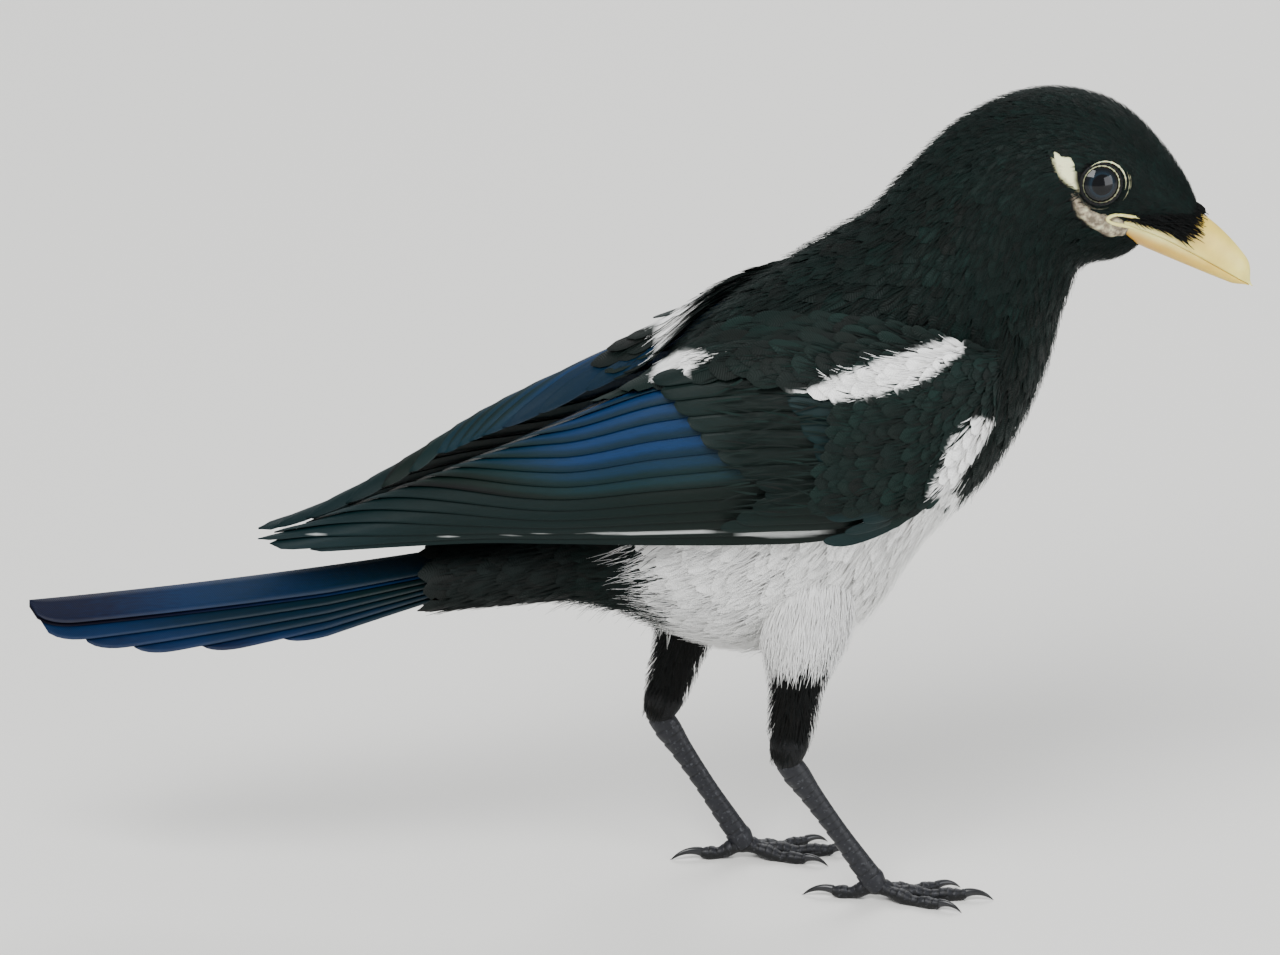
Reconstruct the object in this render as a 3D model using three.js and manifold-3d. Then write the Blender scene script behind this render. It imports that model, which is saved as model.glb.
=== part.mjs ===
// A life-size young magpie that stands on level ground in mid-stride, looking down past its bill.
// Millimetres, +X towards the bill, +Y to the bird's left, +Z up. The ground is z = 0, and the
// origin is on it, under the middle of the bird's length. Every piece is one closed solid.
import * as THREE from "three";
import { mergeVertices } from "three/addons/utils/BufferGeometryUtils.js";
import Module from "manifold-3d";

const wasm = await Module();
wasm.setup();

// Clearances and thicknesses.
const GAP = 0.3;
const VANE_THICK = 0.5;
const VANE_STEP = VANE_THICK + 1.5 * GAP;
const WING_LIFT = 0.45;
const ROOT_SHARE = 0.6;

const RIGHT = -1;
const LEFT = 1;
const SIDES = { right: RIGHT, left: LEFT };

// The body's long axis from the tail root to the front of the face. Each station has its centre, the
// axis's rise in degrees, the plumage's reach above, below and to each side, all in the ring's plane.
const BODY = [
  { at: "tail root", x: -26, z: 84.5, rise: 9, up: 7.5, down: 9, side: 9.5 },
  { at: "vent", x: -8, z: 88.3, rise: 15, up: 14, down: 17, side: 15.5 },
  { at: "rump", x: 10, z: 97, rise: 24, up: 31, down: 38, side: 25 },
  { at: "flank", x: 30, z: 110.5, rise: 30, up: 38.5, down: 48, side: 30 },
  { at: "mid back", x: 50, z: 124, rise: 33, up: 41, down: 38.5, side: 30.5 },
  { at: "shoulder", x: 67, z: 137, rise: 37, up: 40, down: 34.5, side: 29 },
  { at: "neck base", x: 81, z: 151.5, rise: 45, up: 36, down: 26.5, side: 26 },
  { at: "mid neck", x: 90, z: 166, rise: 49, up: 33, down: 20, side: 22 },
  { at: "nape", x: 97, z: 178.7, rise: 36, up: 28.8, down: 20.3, side: 19.3 },
  { at: "crown", x: 105.3, z: 185.2, rise: 12, up: 24.8, down: 22.4, side: 18 },
  { at: "eyes", x: 115, z: 185.6, rise: -10, up: 20, down: 21.4, side: 16.2 },
  { at: "lores", x: 124.7, z: 182.2, rise: -20, up: 13.6, down: 17.2, side: 11.8 },
  { at: "bill base", x: 132.6, z: 178.4, rise: -26, up: 7.4, down: 6.8, side: 6.8 },
  { at: "bristle tips", x: 137.2, z: 175.8, rise: -30, up: 2.6, down: 4, side: 4.2 },
];
const LAST = BODY.length - 1;
const TORSO_SLICES = 18;
const RING_COUNT = 26;
const NECK_START = 6.1;
const HEAD_START = 8.3;

// The folded wing's sheet, across which the feathers lie. Each section has its place along the bird
// and four points from the low edge to the inner edge over the back, as reach from the middle and height.
const WING = [
  { x: 88, low: [24, 137], side: [25.5, 141], crest: [25, 146], inner: [22, 150] },
  { x: 79, low: [27, 125], side: [31, 134], crest: [29, 145], inner: [23, 152] },
  { x: 68, low: [30, 112.5], side: [33, 126], crest: [30, 144], inner: [22, 154] },
  { x: 52, low: [32, 104.5], side: [34, 121], crest: [29, 143], inner: [19, 153.5] },
  { x: 30, low: [32, 103], side: [33.5, 119], crest: [26.5, 142.5], inner: [13, 149] },
  { x: 5, low: [29.5, 101.5], side: [30.5, 115.5], crest: [20.5, 136], inner: [4, 135.5] },
  { x: -20, low: [24, 99.5], side: [24.5, 110], crest: [14.5, 125.2], inner: [2, 121.5] },
  { x: -40, low: [18.5, 97.5], side: [18.5, 105.5], crest: [10.5, 115.5], inner: [1.7, 113] },
  { x: -60, low: [14, 94.5], side: [13.2, 99.5], crest: [7, 105], inner: [1.6, 103.2] },
  { x: -80, low: [10.5, 91], side: [9, 93.5], crest: [4.5, 95.4], inner: [1.5, 94.8] },
  { x: -98, low: [7.5, 87.7], side: [6, 88.6], crest: [3.5, 89.2], inner: [1.4, 89] },
];
const WING_KNOTS = [0, 0.35, 0.7, 1];
// How much wider the flight feathers' fan is than the sheet at each section, from the bend backwards.
const WING_FAN = [1, 1, 1, 1, 1, 1, 1, 1.12, 1.8, 3, 3.6];
// The left wing closes over the right one: its lift at each section, and how far each knot takes part.
const WING_SKEW = [0, 0, 0, 0, 0, 0.6, 2, 2.4, 0.9, 0.2, 0];
const SKEW_SHARES = [0, 0.25, 1, 1];

// Flight feathers from the outermost primary up to the innermost tertial: place of the tip along X.
const PRIMARY_TIPS = [-82, -92, -95, -91, -83, -73, -64, -57];
const SECONDARY_TIPS = [-50, -48, -45, -42, -39];
const TERTIAL_TIPS = [-34, -25, -13];
const GREATER_TIPS = [20, 24, 28, 31, 29, 25, 20, 16, 13, 10, 7, 5];
const ALULA_TIPS = [46, 48, 51];
const MEDIAN_TIPS = [45, 47, 46, 43, 40, 37, 36];

// Tiers of vanes from the lowest layer to the highest. Each runs from the wing's low edge to its
// inner edge, has one root line along X, and lies at its own height over the sheet.
const TIERS = [
  {
    tips: [...PRIMARY_TIPS, ...SECONDARY_TIPS, ...TERTIAL_TIPS],
    root: 40,
    height: 1.5,
    laps: 1.6,
    from: 0,
    to: 0.98,
    rows: 15,
    fans: true,
  },
  { tips: GREATER_TIPS, root: 57, height: 4.6, laps: 1.55, from: 0.03, to: 0.76, rows: 12, fans: false },
  {
    tips: [...ALULA_TIPS, ...MEDIAN_TIPS],
    root: 70,
    height: 7.4,
    laps: 1.55,
    from: 0.01,
    to: 0.74,
    rows: 12,
    fans: false,
  },
];

// Each tip's rounding: distance from the tip, and the vane's share of its full width there.
const TIP_ROUNDING = [
  { back: 6, share: 1 },
  { back: 2, share: 0.74 },
  { back: 0, share: 0.28 },
];

// The arm and hand, with a step down at each line where a tier of feathers leaves it.
const ARM = [
  { x: 88, thick: 0.9, low: 0.3, high: 0.7 },
  { x: 85.5, thick: 4, low: 0.12, high: 0.88 },
  { x: 80, thick: 7, low: 0.04, high: 0.96 },
  { x: 72, thick: 8.8, low: 0.01, high: 0.99 },
  { x: 63, thick: 9, low: 0.01, high: 0.99 },
  { x: 62, thick: 6.2, low: 0.01, high: 0.99 },
  { x: 51, thick: 6.2, low: 0.01, high: 0.99 },
  { x: 50, thick: 3.3, low: 0.01, high: 0.99 },
  { x: 42, thick: 3.3, low: 0.01, high: 0.99 },
  { x: 35, thick: 3.3, low: 0.01, high: 0.99 },
];
// Across the arm: place from its low to its inner edge, and how much of the thickness over the
// lowest layer it has there. The inner edge thins out to lie under the plumage of the back.
const ARM_ACROSS = [
  { q: 0, full: 0.5 },
  { q: 0.04, full: 1 },
  { q: 0.2, full: 1 },
  { q: 0.36, full: 1 },
  { q: 0.52, full: 1 },
  { q: 0.68, full: 1 },
  { q: 0.8, full: 1 },
  { q: 0.9, full: 0.35 },
  { q: 1, full: 0 },
];
const ARM_LAYER = 3.3;

// The tail: line of its upper face, feather pairs from the middle pair outwards.
const TAIL = {
  rootX: -28,
  tipX: -153,
  rootZ: 92,
  rootSlope: 0.18,
  tipSlope: 0.098,
  shorter: [0, 3, 13, 25, 42, 62],
  width: [16, 15.5, 15, 14, 13, 12],
  fanDegrees: 1.7,
  roofRoot: 0.2,
  roofTip: 0.5,
  roofFrom: 0.4,
  step: 0.92,
  thick: 0.58,
  sunk: 4,
  spread: 0.3,
};
// A tail feather's share of its full width at even turns from its root to its tip.
const TAIL_VANE_SHARES = [0.6, 1, 1, 1, 1, 0.8, 0.3];
// The block that holds the tail feathers, as rings behind its front face.
const TAIL_BLOCK = [
  { back: 0, half: 7.2, deep: 5 },
  { back: 3, half: 7.4, deep: 5.4 },
  { back: 9, half: 6.8, deep: 4.8 },
  { back: 14, half: 5.6, deep: 3.8 },
];
const TAIL_BLOCK_DROP = 4.6;

// Plumage that runs on from the body round the root of the tail, as rings across X.
const TAIL_SLEEVE = [
  { x: -12, z: 87.4, up: 8.6, down: 9.6, side: 9.5 },
  { x: -28, z: 84.6, up: 8.8, down: 8.2, side: 10.9 },
  { x: -42, z: 82.2, up: 7.8, down: 6.6, side: 12.6 },
  { x: -56, z: 79.4, up: 8.3, down: 5, side: 14 },
];
const COVERT_STEP = 0.85;
const COVERT_FAN = 27;
const COVERT_HALF = 0.85;
const COVERT_ROOT = { x: -12, share: 0.8 };
const COVERT_MIDDLE = { x: -27, share: 1 };
const COVERT_ROUNDING = [
  { back: 6, share: 1 },
  { back: 1.6, share: 0.7 },
  { back: 0, share: 0.25 },
];
const OVER_TAIL_TIPS = [-55, -51, -46, -40];
const UNDER_TAIL_TIPS = [-54, -52, -47, -41];

// Bill: the line between the mandibles, and each station's depth over and under it and half width.
const BILL = [
  { x: 115.5, z: 179.4, rise: -14, over: 4.5, under: 4.5, wide: 12.6 },
  { x: 121.7, z: 177.6, rise: -20, over: 6, under: 7, wide: 12.3 },
  { x: 129.3, z: 173.3, rise: -28, over: 8, under: 7.3, wide: 8.8 },
  { x: 136.3, z: 168.6, rise: -31, over: 8.4, under: 6.3, wide: 5.8 },
  { x: 142.5, z: 164.5, rise: -33, over: 7.1, under: 5.1, wide: 4.3 },
  { x: 148.2, z: 160.6, rise: -38, over: 4.7, under: 3.3, wide: 2.8 },
  { x: 151.9, z: 157.6, rise: -46, over: 2.2, under: 1.3, wide: 1.4 },
];
// The lower mandible is a little shorter and narrower, and the ridge is narrower than the edges.
const LOWER_REACH = 0.97;
const LOWER_WIDTH = 0.94;
const RIDGE_PINCH = 0.16;
// Flat locks of nasal bristles in a row round each side of the bill's base, turns in degrees.
const BRISTLES = { rows: 4, from: 0.3, shortest: 0.46, longest: 0.54, lowest: 34, highest: 80, width: 2.8 };

const EYE = { along: 9.72, turnDegrees: 79, radius: 7, opening: 4.4, depth: 2.4, proud: -0.2 };
const EYE_SPOKES = 14;
// The lids' round edge: its middle's distance outside the eye's opening, its radius and its height.
const LID = { out: 0.55, radius: 0.8, height: 0.2 };
// How far the eye's socket is cut forward of the eye.
const SOCKET_REACH = 2;

// Legs: each joint's place, seen from its own side, with y as the reach from the middle.
const LEGS = {
  right: { top: [43, 15, 94], ankle: [36.5, 17, 38], toes: [57.5, 15, 6.2], turnDegrees: -4 },
  left: { top: [20, 15, 92], ankle: [4.5, 17, 37.5], toes: [24.5, 15, 6.2], turnDegrees: 4 },
};
const SHIN = {
  along: [0, 0.25, 0.42, 0.55, 0.68, 0.85, 0.95, 1],
  fore: [12, 12.6, 11.4, 8.8, 6.9, 5.9, 4.6, 3.6],
  side: [9, 10, 9.6, 7.6, 6, 4.9, 3.9, 3.2],
};
const TARSUS = {
  along: [0, 0.12, 0.3, 0.6, 0.88, 1],
  fore: [3.1, 3.4, 2.8, 2.5, 2.8, 3],
  side: [2.7, 2.9, 2.2, 2.1, 2.5, 2.6],
};
const ANKLE_OVERLAP = 3;
const TOES = [
  { name: "inner", yaw: 24, length: 16, claw: 6.5, thick: 1.75 },
  { name: "middle", yaw: 2, length: 22, claw: 7.5, thick: 1.9 },
  { name: "outer", yaw: -22, length: 17, claw: 6.5, thick: 1.75 },
  { name: "hind", yaw: 176, length: 11.5, claw: 8.5, thick: 1.9 },
];
// A toe's own shape: pads that swell under it, how fast it comes down from the foot's ball, how far
// its last part lifts, and how far its sole is cut flat by the ground.
const TOE = {
  pads: 2.5,
  swell: 0.12,
  thickAtBall: 1.15,
  thickAtClaw: 0.78,
  ballHeight: 3.4,
  ballReach: 4.5,
  liftFrom: 0.85,
  lift: 5,
  sink: 0.4,
};
// A claw starts a little thinner than its toe and bends down to a point just off the ground.
const CLAW = { thick: 0.9, taper: 0.8, riseDegrees: 14, bendDegrees: 62, point: 0.12, floor: 0.15 };
// The foot's ball, from the tarsus down to where the toes part.
const FOOT = { drop: 3.6, along: [0, 0.35, 1], fore: [3, 3.1, 2.4], side: [2.6, 2.9, 2.6] };

const COLOURS = {
  black: { color: 0x0c0e10, roughness: 0.75, metalness: 0 },
  wing: { color: 0x16303f, roughness: 0.5, metalness: 0 },
  tail: { color: 0x14233d, roughness: 0.45, metalness: 0 },
  bill: { color: 0xe6b45c, roughness: 0.4, metalness: 0 },
  eye: { color: 0x1c2730, roughness: 0.08, metalness: 0 },
  leg: { color: 0x2c2e33, roughness: 0.6, metalness: 0 },
  claw: { color: 0x15161a, roughness: 0.35, metalness: 0 },
};

// Numbers

const radians = THREE.MathUtils.degToRad;
const lerp = THREE.MathUtils.lerp;
const clamp = THREE.MathUtils.clamp;

// A smooth curve through evenly numbered values.
function through(values, t) {
  const last = values.length - 1;
  const i = clamp(Math.floor(t), 0, last - 1);
  const f = t - i;
  const b = values[i];
  const c = values[i + 1];
  const a = i > 0 ? values[i - 1] : 2 * b - c;
  const d = i + 2 <= last ? values[i + 2] : 2 * c - b;
  return b + 0.5 * f * (c - a + f * (2 * a - 5 * b + 4 * c - d + f * (3 * (b - c) + d - a)));
}

// The place in a falling or rising list of values, as a number between its indices.
function placeOf(values, x) {
  const sign = values[1] > values[0] ? 1 : -1;
  let i = 0;
  while (i < values.length - 2 && (x - values[i + 1]) * sign > 0) i += 1;
  let low = i;
  let high = i + 1;
  for (let n = 0; n < 24; n += 1) {
    const mid = (low + high) / 2;
    if ((through(values, mid) - x) * sign < 0) low = mid;
    else high = mid;
  }
  return (low + high) / 2;
}

const column = (rows, key) => rows.map((row) => row[key]);

// Solids

function toManifold(geometry) {
  const bare = new THREE.BufferGeometry();
  bare.setAttribute("position", geometry.getAttribute("position"));
  bare.setIndex(geometry.getIndex());
  const merged = mergeVertices(bare, 1e-4);
  return new wasm.Manifold(
    new wasm.Mesh({
      numProp: 3,
      vertProperties: merged.attributes.position.array,
      triVerts: new Uint32Array(merged.index.array),
    }),
  );
}

function toGeometry(solid) {
  const mesh = solid.getMesh();
  const positions = new Float32Array(mesh.numVert * 3);
  for (let i = 0; i < mesh.numVert; i += 1) {
    positions.set(mesh.vertProperties.subarray(i * mesh.numProp, i * mesh.numProp + 3), i * 3);
  }
  const geometry = new THREE.BufferGeometry();
  geometry.setAttribute("position", new THREE.BufferAttribute(positions, 3));
  geometry.setIndex(new THREE.BufferAttribute(mesh.triVerts, 1));
  return geometry;
}

// The largest closed surface of a solid, with any sealed hollow filled.
function largest(solid) {
  const bodies = solid.decompose();
  return bodies.reduce((best, body) => (body.volume() > best.volume() ? body : best));
}

function closedMesh(points, faces) {
  const geometry = new THREE.BufferGeometry();
  geometry.setAttribute("position", new THREE.BufferAttribute(new Float32Array(points.flat()), 3));
  geometry.setIndex(faces.flat());
  return geometry;
}

// Rings of points, each of the same count, joined into a closed tube with a middle point on each end.
function loft(rings) {
  const n = rings[0].length;
  const points = rings.flat();
  const faces = [];
  for (let i = 0; i + 1 < rings.length; i += 1) {
    for (let j = 0; j < n; j += 1) {
      const a = i * n + j;
      const b = i * n + ((j + 1) % n);
      faces.push([a, b, b + n], [a, b + n, a + n]);
    }
  }
  const middle = (ring) => ring[0].map((_, k) => ring.reduce((sum, p) => sum + p[k], 0) / n);
  const first = points.push(middle(rings[0])) - 1;
  const last = points.push(middle(rings[rings.length - 1])) - 1;
  const end = (rings.length - 1) * n;
  for (let j = 0; j < n; j += 1) {
    const k = (j + 1) % n;
    faces.push([k, j, first], [end + j, end + k, last]);
  }
  return facingOut(closedMesh(points, faces));
}

// A grid of pairs of points, under and over, joined into a closed slab. Both faces are split alike.
function slab(grid) {
  const rows = grid.length;
  const columns = grid[0].length;
  const points = grid.flat().flat();
  const under = (i, j) => 2 * (i * columns + j);
  const over = (i, j) => under(i, j) + 1;
  const faces = [];
  for (let i = 0; i + 1 < rows; i += 1) {
    for (let j = 0; j + 1 < columns; j += 1) {
      faces.push([over(i, j), over(i + 1, j), over(i + 1, j + 1)]);
      faces.push([over(i, j), over(i + 1, j + 1), over(i, j + 1)]);
      faces.push([under(i, j), under(i + 1, j + 1), under(i + 1, j)]);
      faces.push([under(i, j), under(i, j + 1), under(i + 1, j + 1)]);
    }
  }
  const rim = [];
  for (let i = 0; i < rows - 1; i += 1) rim.push([i, 0]);
  for (let j = 0; j < columns - 1; j += 1) rim.push([rows - 1, j]);
  for (let i = rows - 1; i > 0; i -= 1) rim.push([i, columns - 1]);
  for (let j = columns - 1; j > 0; j -= 1) rim.push([0, j]);
  rim.forEach(([i, j], k) => {
    const [p, q] = rim[(k + 1) % rim.length];
    faces.push([under(i, j), under(p, q), over(p, q)], [under(i, j), over(p, q), over(i, j)]);
  });
  return facingOut(closedMesh(points, faces));
}

// Turns every face round if the mesh faces inwards.
function facingOut(geometry) {
  const p = geometry.getAttribute("position");
  const index = geometry.getIndex();
  const v = (k) => new THREE.Vector3().fromBufferAttribute(p, index.getX(k));
  let volume = 0;
  for (let k = 0; k < index.count; k += 3) volume += v(k).dot(v(k + 1).cross(v(k + 2)));
  if (volume < 0) {
    for (let k = 0; k < index.count; k += 3) {
      const swap = index.getX(k + 1);
      index.setX(k + 1, index.getX(k + 2));
      index.setX(k + 2, swap);
    }
  }
  return geometry;
}

const joined = (geometries) => largest(wasm.Manifold.union(geometries.map(toManifold)));

// Body

function station(s) {
  const value = (key) => through(column(BODY, key), s);
  const rise = radians(value("rise"));
  return {
    centre: [value("x"), 0, value("z")],
    ahead: [Math.cos(rise), 0, Math.sin(rise)],
    above: [-Math.sin(rise), 0, Math.cos(rise)],
    up: value("up"),
    down: value("down"),
    side: value("side"),
  };
}

const step = (from, direction, length) => from.map((v, k) => v + direction[k] * length);

// A point of the plumage's outline: turn is 0 on the back and half a circle on the belly.
function bodyPoint(s, turn, out = 0) {
  const ring = station(s);
  const reach = Math.cos(turn) > 0 ? ring.up : ring.down;
  const point = step(ring.centre, ring.above, Math.cos(turn) * (reach + out));
  point[1] += Math.sin(turn) * (ring.side + out);
  return point;
}

function bodyRing(s, count, { out = 0, forward = 0 } = {}) {
  const ring = station(s);
  return Array.from({ length: count }, (_, j) =>
    step(bodyPoint(s, (2 * Math.PI * j) / count, out), ring.ahead, forward),
  );
}

// How far outside the plumage a point is, along the ring's plane through it, with the ring's centre.
function outsideBody(point) {
  let low = 0;
  let high = LAST;
  for (let n = 0; n < 26; n += 1) {
    const mid = (low + high) / 2;
    const { centre, ahead } = station(mid);
    const along = ahead.reduce((sum, v, k) => sum + v * (point[k] - centre[k]), 0);
    if (along > 0) low = mid;
    else high = mid;
  }
  const ring = station((low + high) / 2);
  const arm = point.map((v, k) => v - ring.centre[k]);
  const height = arm[0] * ring.above[0] + arm[2] * ring.above[2];
  const reach = height > 0 ? ring.up : ring.down;
  const share = Math.hypot(height / reach, arm[1] / ring.side);
  const length = Math.hypot(...arm);
  return { distance: length - length / share, centre: ring.centre, arm, length };
}

const SOFT_EDGE = 2;

// The point, moved out from the body until it is clear of it, with a soft change between the two.
function clearOfBody(point) {
  const { distance, centre, arm, length } = outsideBody(point);
  const wanted = 0.5 * (distance + Math.hypot(distance, SOFT_EDGE));
  return centre.map((v, k) => v + (arm[k] * (length + wanted - distance)) / length);
}

function bodyPiece(from, to, slices, count, backwardCap, forwardCap) {
  const rings = [];
  for (let i = 0; i <= slices; i += 1) {
    const forward = i === 0 ? backwardCap : i === slices ? forwardCap : 0;
    rings.push(bodyRing(lerp(from, to, i / slices), count, { forward }));
  }
  return loft(rings);
}

// Wing

const WING_X = column(WING, "x");

// A point of the wing's sheet: a is the place between sections, q the share from low to inner edge.
function wingSheet(side, a, q) {
  const knots = WING_KNOTS;
  let k = 0;
  while (k < knots.length - 2 && q > knots[k + 1]) k += 1;
  const across = k + (q - knots[k]) / (knots[k + 1] - knots[k]);
  const keys = ["low", "side", "crest", "inner"];
  const value = (axis) => {
    const curves = keys.map((key) => through(WING.map((section) => section[key][axis]), a));
    return through(curves, across);
  };
  const skew = side * through(WING_SKEW, a) * through(SKEW_SHARES, across);
  return clearOfBody([through(WING_X, a), value(0), value(1) + skew]);
}

// The sheet's point raised by a height along its own outward direction, on the wing of that side.
function wingPoint(side, a, q, height) {
  const d = 0.02;
  const v = (x, y) => new THREE.Vector3(...wingSheet(side, x, y));
  const along = v(a + d, q).sub(v(a - d, q));
  const across = v(a, q + d).sub(v(a, q - d));
  const outward = along.cross(across).normalize();
  const p = v(a, q).addScaledVector(outward, WING_LIFT + height);
  return [p.x, side * p.y, p.z];
}

function sheetWidth(side, a) {
  let width = 0;
  let before = new THREE.Vector3(...wingSheet(side, a, 0));
  for (let i = 1; i <= 10; i += 1) {
    const next = new THREE.Vector3(...wingSheet(side, a, i / 10));
    width += next.distanceTo(before);
    before = next;
  }
  return width;
}

// Places along X of a vane's cross sections: shared by its whole tier up to near its own tip.
function vaneRows(tier, tip) {
  const rows = [];
  for (let x = tier.root; x > tip + TIP_ROUNDING[0].back + 0.4 * tier.rows; x -= tier.rows) {
    rows.push({ x, share: rows.length === 0 ? ROOT_SHARE : 1 });
  }
  TIP_ROUNDING.forEach(({ back, share }) => rows.push({ x: tip + back, share }));
  return rows;
}

// One tier of feathers that lap like shingles: each lies over its lower neighbour by a full step.
function wingTier(side, tier) {
  const spacing = (tier.to - tier.from) / tier.tips.length;
  return tier.tips.map((tip, i) => {
    const grid = vaneRows(tier, tip).map(({ x, share }) => {
      const a = placeOf(WING_X, x);
      const fan = tier.fans ? through(WING_FAN, a) : 1;
      const width = sheetWidth(side, a);
      const lap = spacing * width * fan;
      const middle = (tier.from + (i + 0.5) * spacing) * fan;
      const half = 0.5 * tier.laps * lap * share;
      return [-1, 1].map((edge) => {
        const height = tier.height - (VANE_STEP / lap) * edge * half;
        const q = middle + (edge * half) / width;
        return [wingPoint(side, a, q, height), wingPoint(side, a, q, height + VANE_THICK)];
      });
    });
    return slab(grid);
  });
}

// The arm and hand with their small coverts: a flat pillow with blunt edges.
function wingArm(side) {
  const grid = ARM.map((row) => {
    const a = placeOf(WING_X, row.x);
    return ARM_ACROSS.map((across) => {
      const q = lerp(row.low, row.high, across.q);
      const over = lerp(Math.min(row.thick, ARM_LAYER), row.thick, across.full);
      return [wingPoint(side, a, q, 0), wingPoint(side, a, q, over)];
    });
  });
  return slab(grid);
}

const wing = (side) => joined([wingArm(side), ...TIERS.flatMap((tier) => wingTier(side, tier))]);

// Tail

function tailTop(x) {
  const t = (TAIL.rootX - x) / (TAIL.rootX - TAIL.tipX);
  const length = TAIL.rootX - TAIL.tipX;
  return TAIL.rootZ - length * (TAIL.rootSlope * t - 0.5 * (TAIL.rootSlope - TAIL.tipSlope) * t * t);
}

// The tail is roofed: its sides fall away from the middle line, more so towards the tips.
function tailDrop(x, y) {
  const t = (TAIL.rootX - x) / (TAIL.rootX - TAIL.tipX);
  return lerp(TAIL.roofRoot, TAIL.roofTip, clamp(t / TAIL.roofFrom, 0, 1)) * Math.abs(y);
}

// One tail feather, from inside the root block to its rounded tip. Level counts down from the top.
function tailVane(side, pair, level) {
  const tip = TAIL.tipX + TAIL.shorter[pair];
  const grid = TAIL_VANE_SHARES.map((share, k) => {
    const turn = (k / (TAIL_VANE_SHARES.length - 1)) * Math.PI * 0.5;
    const x = lerp(TAIL.rootX - TAIL.sunk, tip, Math.sin(turn));
    const middle = Math.tan(radians(TAIL.fanDegrees * pair)) * (TAIL.rootX - x) + TAIL.spread * pair;
    const half = 0.5 * TAIL.width[pair] * share;
    const ys = pair === 0 ? [-half, 0, half] : [Math.max(middle - half, GAP), middle + half];
    return ys.map((y) => {
      const z = tailTop(x) - level * TAIL.step - tailDrop(x, y);
      return [
        [x, side * y, z - TAIL.thick],
        [x, side * y, z],
      ];
    });
  });
  return slab(grid);
}

// The fleshy root of the tail, which holds every tail feather.
function tailRoot() {
  const count = 14;
  const rings = TAIL_BLOCK.map(({ back, half, deep }) => {
    const x = TAIL.rootX - back;
    const middle = tailTop(x) - TAIL_BLOCK_DROP;
    return Array.from({ length: count }, (_, j) => {
      const turn = (2 * Math.PI * j) / count;
      return [x, half * Math.sin(turn), middle + deep * Math.cos(turn)];
    });
  });
  return loft(rings);
}

// The two middle feathers lie one over the other, and each later pair lies under the one before.
function tail() {
  const vanes = [tailVane(LEFT, 0, 0), tailVane(RIGHT, 0, 1)];
  for (let pair = 1; pair < TAIL.width.length; pair += 1) {
    vanes.push(tailVane(LEFT, pair, pair + 1), tailVane(RIGHT, pair, pair + 1));
  }
  return joined([tailRoot(), ...vanes]);
}

// Tail coverts

function sleevePoint(x, turn, out) {
  const xs = column(TAIL_SLEEVE, "x");
  const a = placeOf(xs, x);
  const value = (key) => through(column(TAIL_SLEEVE, key), a);
  const reach = Math.cos(turn) > 0 ? value("up") : value("down");
  return [x, Math.sin(turn) * (value("side") + out), value("z") + Math.cos(turn) * (reach + out)];
}

// A covert that leaves the rump or the vent and closes round the tail's root.
function tailCovert(turnDegrees, tip, height) {
  const end = COVERT_ROUNDING.map(({ back, share }) => ({ x: tip + back, share }));
  const grid = [COVERT_ROOT, COVERT_MIDDLE, ...end].map(({ x, share }) =>
    [-1, 0, 1].map((edge) => {
      const turn = radians(turnDegrees + edge * share * COVERT_FAN * COVERT_HALF);
      return [sleevePoint(x, turn, height), sleevePoint(x, turn, height + VANE_THICK)];
    }),
  );
  return slab(grid);
}

function tailCoverts() {
  const vanes = [];
  for (const [middle, tips] of [[0, OVER_TAIL_TIPS], [180, UNDER_TAIL_TIPS]]) {
    tips.forEach((tip, i) => {
      const height = (tips.length - 1 - i) * COVERT_STEP;
      const turns = i === 0 ? [0] : [i, -i];
      turns.forEach((n) => vanes.push(tailCovert(middle + n * COVERT_FAN, tip, height)));
    });
  }
  return vanes;
}

// Bill

function billStation(u) {
  const value = (key) => through(column(BILL, key), u * (BILL.length - 1));
  const rise = radians(value("rise"));
  return {
    centre: [value("x"), 0, value("z")],
    above: [-Math.sin(rise), 0, Math.cos(rise)],
    over: value("over"),
    under: value("under"),
    wide: value("wide"),
  };
}

// A point of the bill's surface: turn runs from one edge over the ridge to the other edge.
function billPoint(u, turn, upper, out = 0) {
  const ring = billStation(u);
  const depth = (upper ? ring.over : ring.under) + out;
  const height = GAP / 2 + Math.sin(turn) * Math.max(depth - GAP / 2, 0.1);
  const bulge = upper ? 1 - RIDGE_PINCH * Math.sin(turn) ** 2 : LOWER_WIDTH;
  const point = step(ring.centre, ring.above, (upper ? 1 : -1) * height);
  point[1] += Math.cos(turn) * (ring.wide + out) * bulge;
  return point;
}

function mandible(upper, out = 0) {
  const slices = 11;
  const count = 12;
  const reach = upper ? 1 : LOWER_REACH;
  const rings = [];
  for (let i = 0; i <= slices; i += 1) {
    const u = (i / slices) * reach;
    const ring = [];
    for (let j = 0; j < count; j += 1) ring.push(billPoint(u, (Math.PI * j) / (count - 1), upper, out));
    const { centre, above } = billStation(u);
    ring.push(step(centre, above, ((upper ? 1 : -1) * GAP) / 2));
    rings.push(ring);
  }
  return loft(rings);
}

// The pocket that both mandibles sit in, a gap wider than they are.
function billPocket() {
  const slices = 11;
  const count = 11;
  const rings = [];
  for (let i = 0; i <= slices; i += 1) {
    const u = i / slices;
    const ring = [];
    for (let j = 0; j <= count; j += 1) ring.push(billPoint(u, (Math.PI * j) / count, true, GAP));
    for (let j = 1; j < count; j += 1) ring.push(billPoint(u, Math.PI - (Math.PI * j) / count, false, GAP));
    const back = i === 0 ? -GAP : 0;
    rings.push(ring.map((p) => [p[0] + back, p[1], p[2]]));
  }
  return loft(rings);
}

// Eyes

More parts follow.
